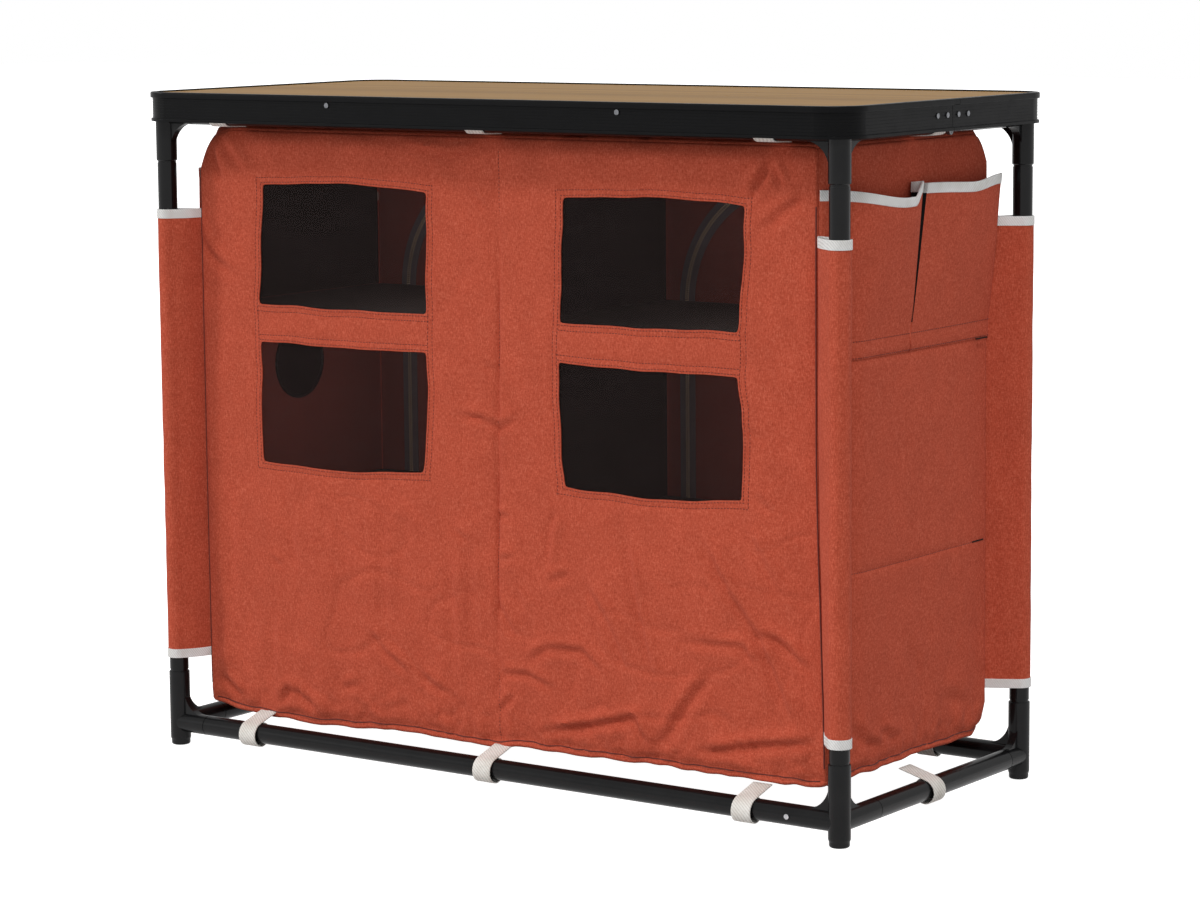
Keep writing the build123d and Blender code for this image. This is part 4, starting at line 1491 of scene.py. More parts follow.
    def shelf_rim(self, side: Side, height: float) -> list[Pair]:
        """Outline of a shelf at a height, inside the settled cloth."""
        wide, deep, start = self.form.half_width, self.form.half_depth, self.shelf_middle
        corners = ((start, -deep), (wide, -deep), (wide, deep), (start, deep))
        sharp = [corners[0]]
        for near, far in zip(corners, corners[1:]):
            sharp += straight_line(near, far, 0.008)[1:]
        rim = []
        for x, y in sharp:
            point = self.form.settle(Vector((x * side.value, y, height)))
            gap = self.shelf_gap_front if y < 0 else self.shelf_gap_back
            across = max(start, abs(point.x) * (1 - self.shelf_gap_side / wide))
            rim.append((across * side.value, point.y * (1 - gap / deep)))
        return rim

    def shelves(self) -> None:
        """Four shelf boards, cut to the shape of the cloth that they stand in."""
        for side in Side:
            for level in ("lower", "upper"):
                node = f"shelf_{level}_{side.word}"
                low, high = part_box(node)
                rim = self.shelf_rim(side, (low.z + high.z) / 2)
                name = f"board_{level}_{side.word}"
                piece = new_piece(name, bpy.data.meshes.new(name))
                with opened(piece) as board:
                    under, over = (
                        [board.verts.new((x, y, z)) for x, y in rim] for z in (low.z, high.z)
                    )
                    board.faces.new(under)
                    board.faces.new(over)
                    for index in range(len(rim)):
                        after = (index + 1) % len(rim)
                        board.faces.new((under[index], under[after], over[after], over[index]))
                    bmesh.ops.recalc_face_normals(board, faces=board.faces)
                self.tailor.dress(piece, "black_lining")
                self.tailor.hang(piece, ROOT, "lining_cloth", [node], 30)

    def line_on(
        self, face: Face, places: Iterable[Pair], lift: float = 0.0001
    ) -> list[tuple[Vector, Vector]]:
        """Points and normals along places on a face."""
        return [
            (self.skin.place(face, s, t, lift), self.skin.normal(face, s, t)) for s, t in places
        ]

    def line_on(
        self, face: Face, places: Iterable[Pair], lift: float = 0.0001
    ) -> list[tuple[Vector, Vector]]:
        """Points and normals along places on a face."""
        return [
            (self.skin.place(face, s, t, lift), self.skin.normal(face, s, t)) for s, t in places
        ]

    def stitching(self, needle: Needle) -> None:
        """All visible stitch lines of the cabinet's faces."""
        self.front_stitching(needle)
        for side in Side:
            low_s, high_s, _, _ = self.form.limits(side.face)
            lines = []
            for seam in (*self.shelf_seams, self.pocket_seam - self.pocket_stitch):
                places = straight_line((low_s + 0.008, seam), (high_s - 0.012, seam))
                lines.append(self.line_on(side.face, places))
            self.bar_tacks(side)
            self.tailor.sew_on(needle.sew(f"side_stitching_{side.word}", lines))
            for body, way in ((ROOT, 1), (f"back_door_{side.word}", -1)):
                offsets = (self.chain_half + 0.0012, self.chain_half + 0.0066)
                lines = [self.arch_line(side, way * offset, 0.0009) for offset in offsets]
                self.tailor.sew_on(needle.sew(f"zip_stitching_{body}_{side.word}", lines), body)

    def front_stitching(self, needle: Needle) -> None:
        """Stitch lines round the windows, along their bars and down the centre seam."""
        lines = []
        near = self.edge_stitch
        for side in Side:
            left, right = self.pair(side)
            for gap in (self.frame_gap, near):
                low = (left - gap, self.lower[0] - gap)
                high = (right + gap, self.upper[1] + gap)
                lines.append(frame_lines(low, high))
            for offset in (near, self.bar_stitch):
                for t in (self.lower[1] + offset, self.upper[0] - offset):
                    lines.append(straight_line((left - near, t), (right + near, t)))
        lines.append(straight_line((self.seam_at(0.062), 0.062), (self.seam_at(0.738), 0.738)))
        front = [self.line_on(Face.FRONT, line) for line in lines]
        self.tailor.sew_on(needle.sew("front_stitching", front))

    def edge_pipings(self) -> None:
        """Dark thread-coloured tubes beside the front leg sleeves and in the groove above the welt:
        painted shade for the gaps between the front and the sleeves and for the fold under the welt.
        """
        wide, above = self.form.half_width, self.form.bottom + 0.0072
        runs = {
            "edge_piping_left": (Face.FRONT, (-wide + 0.003, 0.075), (-wide + 0.003, 0.705)),
            "edge_piping_right": (Face.FRONT, (wide - 0.0044, 0.075), (wide - 0.0044, 0.690)),
        }
        for face in (Face.FRONT, Face.RIGHT, Face.BACK, Face.LEFT):
            low_s, high_s, _, _ = self.form.limits(face)
            run = (face, (low_s + 0.012, above), (high_s - 0.012, above))
            runs[f"hem_piping_{face.word}"] = run
        for name, (face, start, end) in runs.items():
            line = straight_line(start, end)
            points = [self.skin.place(face, s, t, -0.0001) for s, t in line]
            self.tailor.sew_on(piped_tube(name, points, self.piping), angle=60)

    def bar_tacks(self, side: Side) -> None:
        """Thick dark ends of the shelf seams: black tubes laid along the last stretch of each seam."""
        name = f"seam_end_{side.word}"
        start, end = sorted(place * side.value for place in self.tack_ends)
        tacks = []
        for seam in self.shelf_seams:
            lift = 0.0046 if seam > self.pocket_seam - 0.03 else 0.0001
            places = straight_line((start, seam), (end, seam))
            points = [self.skin.place(side.face, s, t, lift) for s, t in places]
            tacks.append(piped_tube(name, points, self.piping))
        piece = joined(tacks, name)
        self.tailor.dress(piece, "black_lining")
        self.tailor.hang(piece, ROOT, "lining_cloth")

    def arch_places(self, side: Side, growth: float) -> list[Pair]:
        """Close places along a door's arch, from its inner foot over the top to its outer foot."""
        low, high = self.door_inner - growth, self.door_outer + growth
        top, radius = self.door_top + growth, self.door_corner + growth
        foot = self.door_bottom + (0.001 if growth > 0 else 0.004)
        places = straight_line((low, foot), (low, top - radius))[:-1]
        for start, centre in ((180.0, low + radius), (90.0, high - radius)):
            count = max(8, math.ceil(math.radians(90) * radius / 0.002))
            for step in range(count):
                angle = math.radians(start - 90.0 * step / count)
                places.append(
                    (centre + radius * math.cos(angle), top - radius + radius * math.sin(angle))
                )
            if start > 100:
                places += straight_line((low + radius, top), (high - radius, top))[:-1]
        places += straight_line((high, top - radius), (high, foot))
        return [(x * side.value, z) for x, z in places]

    def arch_line(self, side: Side, growth: float, lift: float) -> list[tuple[Vector, Vector]]:
        """Points and normals along a door's arch on the back."""
        places = self.arch_places(side, growth)
        return self.line_on(Face.BACK, [(-x, z) for x, z in places], lift)

    def hem_roll(self) -> None:
        """Piped welt along the bottom edge, where the faces and the floor are sewn together."""
        form = self.form
        signs = ((-1, -1), (1, -1), (1, 1), (-1, 1), (-1, -1))
        corners = [(x * form.half_width, y * form.half_depth) for x, y in signs]
        places: list[Vector] = []
        for start, end in zip(corners, corners[1:]):
            for x, y in straight_line(start, end, 0.006)[:-1]:
                point = form.settle(Vector((x, y, form.bottom)))
                ripple = noise.noise(Vector((x / 0.02, y / 0.02, 9.1)))
                places.append(point + Vector((0, 0, -0.0002 + 0.0010 * ripple)))
        piece = piped_tube("bottom_welt", places, self.welt, closed=True)
        self.tailor.hang(piece, ROOT, "terracotta_cloth", (), 60)

    def build(self, needle: Needle) -> None:
        """Sew the whole cabinet.

        Args:
            needle: sews the stitch lines.
        """
        self.front()
        self.lid_and_floor()
        for side in Side:
            self.flank(side)
        self.back()
        self.divider()
        self.shelves()
        self.hem_roll()
        self.edge_pipings()
        self.stitching(needle)


def piped_tube(
    name: str, places: Sequence[Vector], radius: float, closed: bool = False
) -> Piece:
    """Round tube along close places.

    Args:
        name: object name.
        places: points along the middle of the tube.
        radius: tube radius.
        closed: whether the tube runs back to its start.

    Returns:
        The mesh object.
    """
    line = bpy.data.curves.new(name, "CURVE")
    line.dimensions = "3D"
    line.bevel_depth = radius
    line.bevel_resolution = 2
    line.use_fill_caps = not closed
    spline = line.splines.new("POLY")
    spline.points.add(len(places) - 1)
    for point, place in zip(spline.points, places):
        point.co = (*place, 1.0)
    spline.use_cyclic_u = closed
    pick(new_piece(name, line))
    bpy.ops.object.convert(target="MESH")
    piece = bpy.context.active_object
    piece.name = name
    return piece


@dataclass
class SidePocket:
    """Twin pocket on one side: two full bags with a knife pleat between them, bound in white."""

    tailor: Tailor
    cloth_parts: CabinetCloth
    side: Side
    bottom: float = 0.521
    seam: float = 0.541
    top: float = 0.703
    front_end: float = -0.1715
    back_end: float = 0.1715
    fullness: float = 0.017
    stand: float = 0.0135
    flare: float = 0.0165
    wall: float = 0.0120
    shares: tuple[float, float, float, float] = (0.44, 0.48, 0.53, 0.565)
    base: float = 0.0016
    wobble: float = 0.0015
    pleat_cloth: float = 0.07
    thickness: float = 0.0011
    binding: float = 0.0108
    binding_thickness: float = 0.0026
    seam_points: int = 170

    def turns(self, v: float) -> tuple[float, float, float]:
        """Where the pleat's front fold, inner fold and back edge lie at a height share."""
        front_fold = -0.0126 + 0.0066 * v
        return front_fold, front_fold - 0.001 - 0.005 * v, front_fold + 0.0005 + 0.0100 * v

    def runs(self, u: float, v: float) -> tuple[float, float, float]:
        """Place along the depth, stand-off and rise at a share along the cloth.

        Args:
            u: share along the cloth from the front seam to the back seam.
            v: height share from the lower seam to the top.

        Returns:
            Place along the depth, distance from the side cloth, and rise of the top edge.
        """
        front_fold, inner_fold, back_edge = self.turns(v)
        base, stops = self.base, self.shares
        if u < stops[0]:
            t = u / stops[0]
            y = self.front_end + (front_fold - self.front_end) * t
            out = base + v * (self.fullness * math.sin(math.pi * t) ** 0.8 + self.stand * t**2)
            rise = 0.004 - 0.014 * smooth(t * 1.3) + 0.016 * smooth((t - 0.86) / 0.14)
            return y, out + self.ripple(y, v, 4.0), rise
        if u < stops[1]:
            t = (u - stops[0]) / (stops[1] - stops[0])
            y = front_fold + (inner_fold - front_fold) * t
            out = base + v * (self.stand * (1 - t) + 0.0025 * t)
            return y, out, 0.006 - 0.001 * t
        if u < stops[2]:
            t = (u - stops[1]) / (stops[2] - stops[1])
            y = inner_fold + (back_edge - inner_fold) * t
            return y, base + v * 0.0025 * (1 - t), 0.005 - 0.002 * t
        if u < stops[3]:
            t = (u - stops[2]) / (stops[3] - stops[2])
            return back_edge + 0.001 * t * v, base + v * self.wall * t, 0.003
        t = (u - stops[3]) / (1 - stops[3])
        y = back_edge + 0.001 * v + (self.back_end - back_edge - 0.001 * v) * t
        bulge = 0.75 * self.fullness * math.sin(math.pi * t) ** 0.9
        out = base + v * (bulge + self.wall * (1 - t) + self.flare * t**2)
        rise = 0.003 - 0.004 * smooth(t * 1.5) + 0.006 * smooth((t - 0.5) / 0.4)
        return y, out + self.ripple(y, v, 8.0), rise

    def ripple(self, y: float, v: float, layer: float) -> float:
        """Uneven stand-off of a bag, more towards its top."""
        return self.wobble * v * noise.noise(Vector((y / 0.05, v * 2.0, layer + self.side.value)))

    def place(self, u: float, w: float, lift: float = 0.0) -> Vector:
        """Point of the pocket cloth.

        Args:
            u: share along the cloth.
            w: height in metres on the unrisen cloth.
            lift: metres outwards.

        Returns:
            Point in space.
        """
        v = max(0.0, (w - self.seam) / (self.top - self.seam))
        y, out, rise = self.runs(u, min(v, 1.0) ** 0.9)
        s = y * self.side.value
        held_in = min(max(s, -0.1725), 0.1725)
        back = self.cloth_parts.skin.place(self.side.face, held_in, min(w, 0.70))
        held = max(1 - v, smooth(1 - (y + 0.1715) / 0.06), smooth(1 - (0.1715 - y) / 0.04))
        x = abs(back.x) * held + self.cloth_parts.form.half_width * (1 - held)
        return Vector(((x + out + lift) * self.side.value, y, w + rise * v))

    def build(self, needle: Needle) -> None:
        """Model the pocket cloth, its white binding and its seams."""
        shares = spaced([0.0, 0.42, *self.shares, 0.58, 1.0], 0.0125)
        rows = spaced([self.bottom, self.seam, self.top], 0.006)
        blank = Blank(f"pocket_cloth_{self.side.word}", shares, rows)
        piece = blank.lay(self.place)
        self.tailor.dress(piece, "terracotta_cloth", "black_lining")
        # The pleat's inner faces, from the front fold to the back bag's wall, are black above the
        # lowest sixth of the rows: painted shade deep in the pleat.
        low_share, high_share = self.shares[0] + 0.002, self.shares[3] - 0.002
        columns, last = len(shares) - 1, len(rows) - 1
        for index, polygon in enumerate(piece.data.polygons):
            middle = (shares[index % columns] + shares[index % columns + 1]) / 2
            if low_share < middle < high_share and index // columns * 6 > last:
                polygon.material_index = 1
        self.turn_out(piece)
        thicken(piece, self.thickness)
        node = f"pocket_panel_{self.side.word}"
        self.tailor.hang(piece, ROOT, "terracotta_cloth", [node], 60)

        edge = self.top - self.binding
        rows = spaced([edge, self.top + 0.0006], 0.002)
        blank = Blank(f"pocket_binding_{self.side.word}", shares, rows)
        piece = blank.lay(self.place)
        self.turn_out(piece)
        lift = (self.binding_thickness - self.thickness) / 2
        for vertex in piece.data.vertices:
            vertex.co.x += lift * self.side.value
        thicken(piece, self.binding_thickness)
        finish_with(piece, "BEVEL", width=0.0006, segments=2, limit_method="ANGLE")
        replaced = ["pocket_bindings"] if self.side is Side.RIGHT else []
        self.tailor.hang(piece, ROOT, "white_binding", replaced, 50)

        outward = Vector((self.side.value, 0, 0))
        lines = []
        for height in (self.seam, self.bottom + 0.0015):
            stops = [index / self.seam_points for index in range(self.seam_points + 1)]
            lines.append([(self.place(u, height, 0.0002), outward) for u in stops])
        self.tailor.sew_on(needle.sew(f"pocket_stitching_{self.side.word}", lines))

    def turn_out(self, piece: Piece) -> None:
        """Turn the faces of the left pocket the right way out."""
        if self.side is Side.LEFT:
            with all_selected(piece):
                bpy.ops.mesh.flip_normals()


@dataclass
class LegSleeve:
    """Sleeve that holds one leg: a loop of cloth drawn in to the cabinet's upright seam."""

    tailor: Tailor
    form: CabinetForm
    side: Side
    depth: Depth
    leg_x: float = LEG_X
    leg_y: float = LEG_Y
    bottom: float = 0.110
    top: float = 0.658
    loop: float = 0.0128
    cloth: float = 0.0009
    binding: float = 0.0108
    binding_thickness: float = 0.0024
    parts: tuple[int, int, int] = (9, 22, 9)
    slack: float = 0.0016

    def section(self, height: float, growth: float) -> list[Vector]:
        """Closed outline of the sleeve at a height, from the seam round the leg and back.

        Args:
            height: place up.
            growth: metres outwards.

        Returns:
            Points round the sleeve.
        """
        leg = Vector((self.leg_x * self.side.value, self.leg_y * self.depth.value, height))
        form = self.form
        corner = (form.half_width * self.side.value, form.half_depth * self.depth.value, height)
        seam = form.settle(Vector(corner))
        seam.z = height
        away = leg - seam
        reach = away.length
        away.normalize()
        across = Vector((-away.y, away.x, 0))
        swell = 0.0005 * noise.noise(Vector((self.leg_x * self.side.value, height / 0.09, 1.0)))
        radius = self.loop + growth + swell
        half = math.acos(min(1.0, radius / reach))
        ends = smooth((height - self.bottom) / 0.08), smooth((self.top - height) / 0.08)
        slack = self.slack * ends[0] * ends[1]
        seam = seam - away * (growth + 0.0005)
        near = leg - away * radius * math.cos(half) + across * radius * math.sin(half)
        far = leg - away * radius * math.cos(half) - across * radius * math.sin(half)

        def wall(start: Vector, end: Vector, count: int, way: int, layer: float) -> list[Vector]:
            """Slack cloth between the seam and the loop, on one side of the leg."""
            fullness = self.full_side(way * across.y) * (0.5 + 0.5 * smooth(height / self.top))
            points = []
            for index in range(count):
                t = index / count
                fold = noise.noise(Vector((t * 1.5, height / 0.09, layer + self.side.value)))
                dip = math.sin(math.pi * t) * (slack * (0.3 + 1.4 * fold) - fullness)
                points.append(start.lerp(end, t) - across * (way * dip))
            return points

        start_count, loop_count, end_count = self.parts
        points = wall(seam, near, start_count, 1, 3.0)
        for index in range(loop_count):
            angle = (math.pi - half) * (1 - 2 * index / loop_count)
            crease = 0.0005 * noise.noise(Vector((angle * 2.2, height / 0.03, 6.0)))
            ring = away * math.cos(angle) + across * math.sin(angle)
            points.append(leg + ring * (radius + crease * slack / self.slack))
        return points + wall(far, seam, end_count, -1, 13.0)

    def full_side(self, facing: float) -> float:
        """How far the cloth between seam and leg swells, more where it faces the front."""
        return 0.0048 if facing < 0 and self.depth is Depth.FRONT else 0.0008

    def tube(self, name: str, low: float, high: float, growth: float, step: float) -> Piece:
        """Loft the outline between two heights.

        Args:
            name: object name.
            low: lower end.
            high: upper end.
            growth: metres outside the plain sleeve.
            step: longest part along the height.

        Returns:
            The sheet, closed round but open at its ends.
        """
        count = sum(self.parts)
        rows = spaced([low, high], step)
        blank = Blank(name, [float(i) for i in range(count + 1)], rows)
        outlines = {row: self.section(row, growth) for row in rows}
        piece = blank.lay(lambda s, t: outlines[nearest(t, rows)][round(s) % count].copy())
        with all_selected(piece):
            bpy.ops.mesh.remove_doubles(threshold=1e-5)
            bpy.ops.mesh.normals_make_consistent(inside=False)
        axis = Vector((self.leg_x * self.side.value, self.leg_y * self.depth.value, 0))
        outward_shell(piece, axis)
        return piece

    def build(self) -> Piece:
        """Model the sleeve and both bindings.

        Returns:
            The joined bindings.
        """
        word = f"{self.depth.word}_{self.side.word}"
        piece = self.tube(f"sleeve_cloth_{word}", self.bottom, self.top, 0.0, 0.008)
        thicken(piece, self.cloth)
        self.tailor.hang(piece, ROOT, "terracotta_cloth", [f"leg_sleeve_{word}"], 50)
        bands = []
        for low in (self.bottom - 0.0006, self.top - self.binding + 0.0006):
            band = self.tube(f"sleeve_binding_{word}", low, low + self.binding, 0.0009, 0.0018)
            thicken(band, self.binding_thickness)
            finish_with(band, "BEVEL", width=0.0005, segments=2, limit_method="ANGLE")
            bands.append(band)
        return joined(bands, f"sleeve_binding_{word}")


def nearest(value: float, places: Sequence[float]) -> float:
    """The place closest to a value."""
    return min(places, key=lambda place: abs(place - value))


def outward_shell(piece: Piece, axis: Vector) -> None:
    """Flip an upright tube whose faces point towards its axis."""
    votes = 0.0
    for polygon in piece.data.polygons:
        away = polygon.center - axis
        votes += polygon.normal.x * away.x + polygon.normal.y * away.y
    if votes < 0:
        with all_selected(piece):
            bpy.ops.mesh.flip_normals()


@dataclass
class WebbingStraps:
    """Webbing loops that tie the cabinet to the rails."""

    tailor: Tailor
    name: str
    node: str
    rail_height: float
    edge_height: float
    places: tuple[float, ...]
    leg_x: float = LEG_X
    leg_y: float = LEG_Y
    edge_x: float = 0.4455
    edge_y: float = 0.1700
    side_y: float = -0.005
    rail_radius: float = 0.012
    thickness: float = 0.0014
    width: float = 0.025
    slack: float = 0.0030
    wrap: float = 322.0
    wrap_parts: int = 40
    free_parts: int = 8

    def path(self, across: float) -> list[Pair]:
        """Middle line of one strap, outwards and upwards from the rail's middle.

        Args:
            across: distance from the rail's middle in to the cabinet's edge.

        Returns:
            Places from the cabinet's edge round the rail to the strap's end.
        """
        rise = self.edge_height - self.rail_height
        way = 1.0 if rise > 0 else -1.0
        radius = self.rail_radius + self.thickness / 2 + 0.0002
        reach = math.hypot(across, rise)
        lean = math.atan2(abs(rise), across)
        touch = lean + math.acos(radius / reach)
        first = (radius * math.cos(touch), radius * math.sin(touch))
        points = []
        for index in range(self.free_parts):
            share = index / self.free_parts
            out = across + (first[0] - across) * share
            points.append((out, abs(rise) + (first[1] - abs(rise)) * share))
        for index in range(self.wrap_parts + 1):
            share = index / self.wrap_parts
            angle = touch + math.radians(self.wrap) * share
            loose = radius + self.slack * math.sin(math.pi * min(1.0, 1.25 * share)) ** 2
            points.append((loose * math.cos(angle), loose * math.sin(angle)))
        return [(-out, up * way) for out, up in points]

    def loop(self, name: str, centre: Vector, outward: Vector, across: float) -> Piece:
        """One strap.

        Args:
            name: object name.
            centre: point on the rail's axis.
            outward: level direction away from the cabinet.
            across: distance from the rail's middle in to the cabinet's edge.

        Returns:
            The strap.
        """
        path = self.path(across)
        along = Vector((-outward.y, outward.x, 0))
        rows = spaced([-self.width / 2, self.width / 2], self.width / 6)
        blank = Blank(name, [float(i) for i in range(len(path))], rows)
        skew = 0.0016 * noise.noise(centre * 17.0)

        def place(s: float, t: float) -> Vector:
            """Point of the strap at a number along its path and a place across its width."""
            out, up = path[round(s)]
            drift = skew * (len(path) - s) / 8
            return centre + outward * out + Vector((0, 0, up)) + along * (t + drift)

        piece = blank.lay(place)
        thicken(piece, self.thickness, 0.0)
        finish_with(piece, "BEVEL", width=0.0003, segments=1, limit_method="ANGLE")
        return piece

    def build(self) -> None:
        """Model every strap on this level and join them."""
        runs = []
        for depth in Depth:
            for x in self.places:
                centre = Vector((x, self.leg_y * depth.value, self.rail_height))
                runs.append((centre, Vector((0, depth.value, 0)), self.leg_y - self.edge_y))
        for side in Side:
            centre = Vector((self.leg_x * side.value, self.side_y, self.rail_height))
            runs.append((centre, Vector((side.value, 0, 0)), self.leg_x - self.edge_x))
        loops = [self.loop(f"{self.name}_{number}", *run) for number, run in enumerate(runs)]
        piece = joined(loops, self.name)
        with all_selected(piece):
            bpy.ops.mesh.normals_make_consistent(inside=False)
        self.tailor.hang(piece, ROOT, "webbing", [self.node], 50)


@dataclass
class DoorZip:
    """Coil zip round one door: tapes and chain halves on the panel and the door, and the slider."""

    tailor: Tailor
    cloth_parts: CabinetCloth
    side: Side
    tape: float = 0.008
    tape_edge: float = 0.0005
    tape_thickness: float = 0.0030
    tooth_pitch: float = 0.0026
    tooth_place: float = 0.00145

    def band(
        self, name: str, near: float, far: float, lift: float, thick: float
    ) -> Piece:
        """Band along the arch between two offsets.

        Args:
            name: object name.
            near: offset of one edge from the arch.
            far: offset of the other edge.
            lift: metres over the back cloth of the band's outer face.
            thick: thickness inwards.

        Returns:
            The band.
        """
        low, high = min(near, far), max(near, far)
        edges = spaced([low, high], 0.0028)
        outlines = [self.resampled(edge) for edge in edges]
        count = len(outlines[0])
        blank = Blank(name, [float(i) for i in range(count)], [float(i) for i in range(len(edges))])

        def place(s: float, t: float) -> Vector:
            x, z = outlines[round(t)][round(s)]
            return self.cloth_parts.skin.place(Face.BACK, -x, z, lift)

        piece = blank.lay(place)
        if sum(polygon.normal.y for polygon in piece.data.polygons) < 0:
            with all_selected(piece):
                bpy.ops.mesh.flip_normals()
        thicken(piece, thick)
        return piece

    def resampled(self, growth: float, count: int = 320) -> list[Pair]:
        """The arch at an offset, as a fixed number of evenly spread places."""
        places = self.cloth_parts.arch_places(self.side, growth)
        lengths = [0.0]
        for start, end in zip(places, places[1:]):
            lengths.append(lengths[-1] + math.hypot(end[0] - start[0], end[1] - start[1]))
        spread = []
        index = 0
        for step in range(count + 1):
            target = lengths[-1] * step / count
            while index < len(lengths) - 2 and lengths[index + 1] < target:
                index += 1
            run = max(lengths[index + 1] - lengths[index], 1e-9)
            t = (target - lengths[index]) / run
            start, end = places[index], places[index + 1]
            spread.append((start[0] + (end[0] - start[0]) * t, start[1] + (end[1] - start[1]) * t))
        return spread

    def build(self) -> None:
        """Model the tapes, the chain and the slider."""
        word = self.side.word
        half = self.cloth_parts.chain_half
        door = f"back_door_{word}"
        tooth = Needle(self.tooth_pitch, 0.0015, 0.0027)
        for body, way, label in ((ROOT, 1, "panel"), (door, -1, "door")):
            near, far = way * self.tape_edge, way * (half + self.tape)
            name = f"zip_band_{label}_{word}"
            tape = self.band(name, near, far, 0.0008, self.tape_thickness)
            replaced = [f"zip_tape_door_{word}"] if way < 0 else []
            if way > 0 and self.side is Side.RIGHT:
                replaced = ["zip_tapes_panel"]
            self.tailor.hang(tape, body, "zip_tape", replaced, 50)
            lines = [
                self.cloth_parts.arch_line(self.side, way * self.tooth_place, lift)
                for lift in (0.0014, -0.0026)
            ]
            chain = tooth.sew(f"zip_chain_{label}_{word}", lines)
            self.tailor.hang(chain, body, "zip_metal", (), 60)
        self.slider()

    def slider(self) -> None:
        """Cast slider body with its bridge and a pull tab that hangs to the node's foot."""
        node = f"zip_slider_{self.side.word}"
        low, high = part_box(node)
        middle = (low.x + high.x) / 2
        body_z, bridge_z, pull_z = high.z - 0.0055, high.z - 0.0050, high.z - 0.0065
        deselect()
        bpy.ops.mesh.primitive_cube_add(size=1.0, location=(middle, low.y + 0.0012, body_z))
        bpy.context.active_object.scale = (0.0088, 0.0022, 0.0108)
        body = fixed_primitive()
        for vertex in body.data.vertices:
            if vertex.co.z < body_z:
                vertex.co.x = middle + (vertex.co.x - middle) * 0.62
        finish_with(body, "BEVEL", width=0.0009, segments=3)
        deselect()
        bpy.ops.mesh.primitive_torus_add(
            major_radius=0.0030,
            minor_radius=0.0007,
            major_segments=24,
            minor_segments=8,
            location=(middle, low.y + 0.0024, bridge_z),
            rotation=(0.0, math.radians(90), 0.0),
        )
        bridge = fixed_primitive()
        for vertex in bridge.data.vertices:
            vertex.co.y = min(vertex.co.y, high.y - 0.0001)
        deselect()
        bpy.ops.mesh.primitive_cylinder_add(
            vertices=24,
            radius=0.0025,
            depth=0.0012,
            location=(middle, low.y + 0.0034, pull_z),
            rotation=(math.radians(90), 0.0, 0.0),
        )
        pull = fixed_primitive()
        for vertex in pull.data.vertices:
            if vertex.co.z < pull_z:
                vertex.co.z = low.z + 0.0030 + (vertex.co.z - pull_z)
        finish_with(pull, "BEVEL", width=0.0003, segments=2, limit_method="ANGLE")
        body = joined([body, bridge, pull], f"zip_slider_cast_{self.side.word}")
        self.tailor.hang(body, node, "zip_metal", [node], 40)


@dataclass
class CablePort:
    """Round cable port in the left side: a moulded ring over a disc of stiff netting."""

    tailor: Tailor
    centre: tuple[float, float, float] = (-0.4495, 0.010, 0.455)
    radius: float = 0.045
    disc_ribs: int = 5

    def build(self) -> None:
        """Model the ring with its rounded lips and the ribbed disc."""
        deselect()
        bpy.ops.mesh.primitive_torus_add(
            major_radius=self.radius - 0.001,
            minor_radius=0.0026,
            major_segments=72,
            minor_segments=12,
            location=self.centre,
            rotation=(0.0, math.radians(90), 0.0),
        )
        ring = fixed_primitive()
        for vertex in ring.data.vertices:
            vertex.co.x = self.centre[0] + (vertex.co.x - self.centre[0]) * 0.9
        deselect()
        bpy.ops.mesh.primitive_circle_add(
            vertices=72,
            radius=self.radius - 0.002,
            fill_type="NGON",
            location=self.centre,
            rotation=(0.0, math.radians(-90), 0.0),
        )
        disc = fixed_primitive()
        with all_selected(disc):
            for _ in range(self.disc_ribs):
                bpy.ops.mesh.inset(thickness=0.0042, depth=0.0004)
                bpy.ops.mesh.inset(thickness=0.0022, depth=-0.0004)
        thicken(disc, 0.0008, 0.0)
        ring = joined([ring, disc], "cable_port_ring")
        self.tailor.hang(ring, ROOT, "black_plastic", ["cable_port"], 40)


@dataclass
class FrameFinish:
    """Finishes of the rigid pieces that keep their own shape."""

    finishes: Finishes
    frame: dict[str, object]

    def dress(self) -> None:
        """Give every shown node the finish of its slot; the rail rivets get a brighter copy of the
        rivet steel, painted highlight.
        """
        slots = {part["node"]: part["material_slot"] for part in self.frame["record"]["subparts"]}
        for name, node in self.frame["nodes"].items():
            slot = slots.get(name, "")
            if slot not in self.finishes.made:
                continue
            # The rail rivets take the brighter copy of the rivet steel: painted highlight.
            chosen = self.finishes.made["bright_rivet" if name == "rail_rivets" else slot]
            for holder in node.material_slots:
                holder.material = chosen
        log.info("frame: %d nodes dressed", len(self.frame["nodes"]))


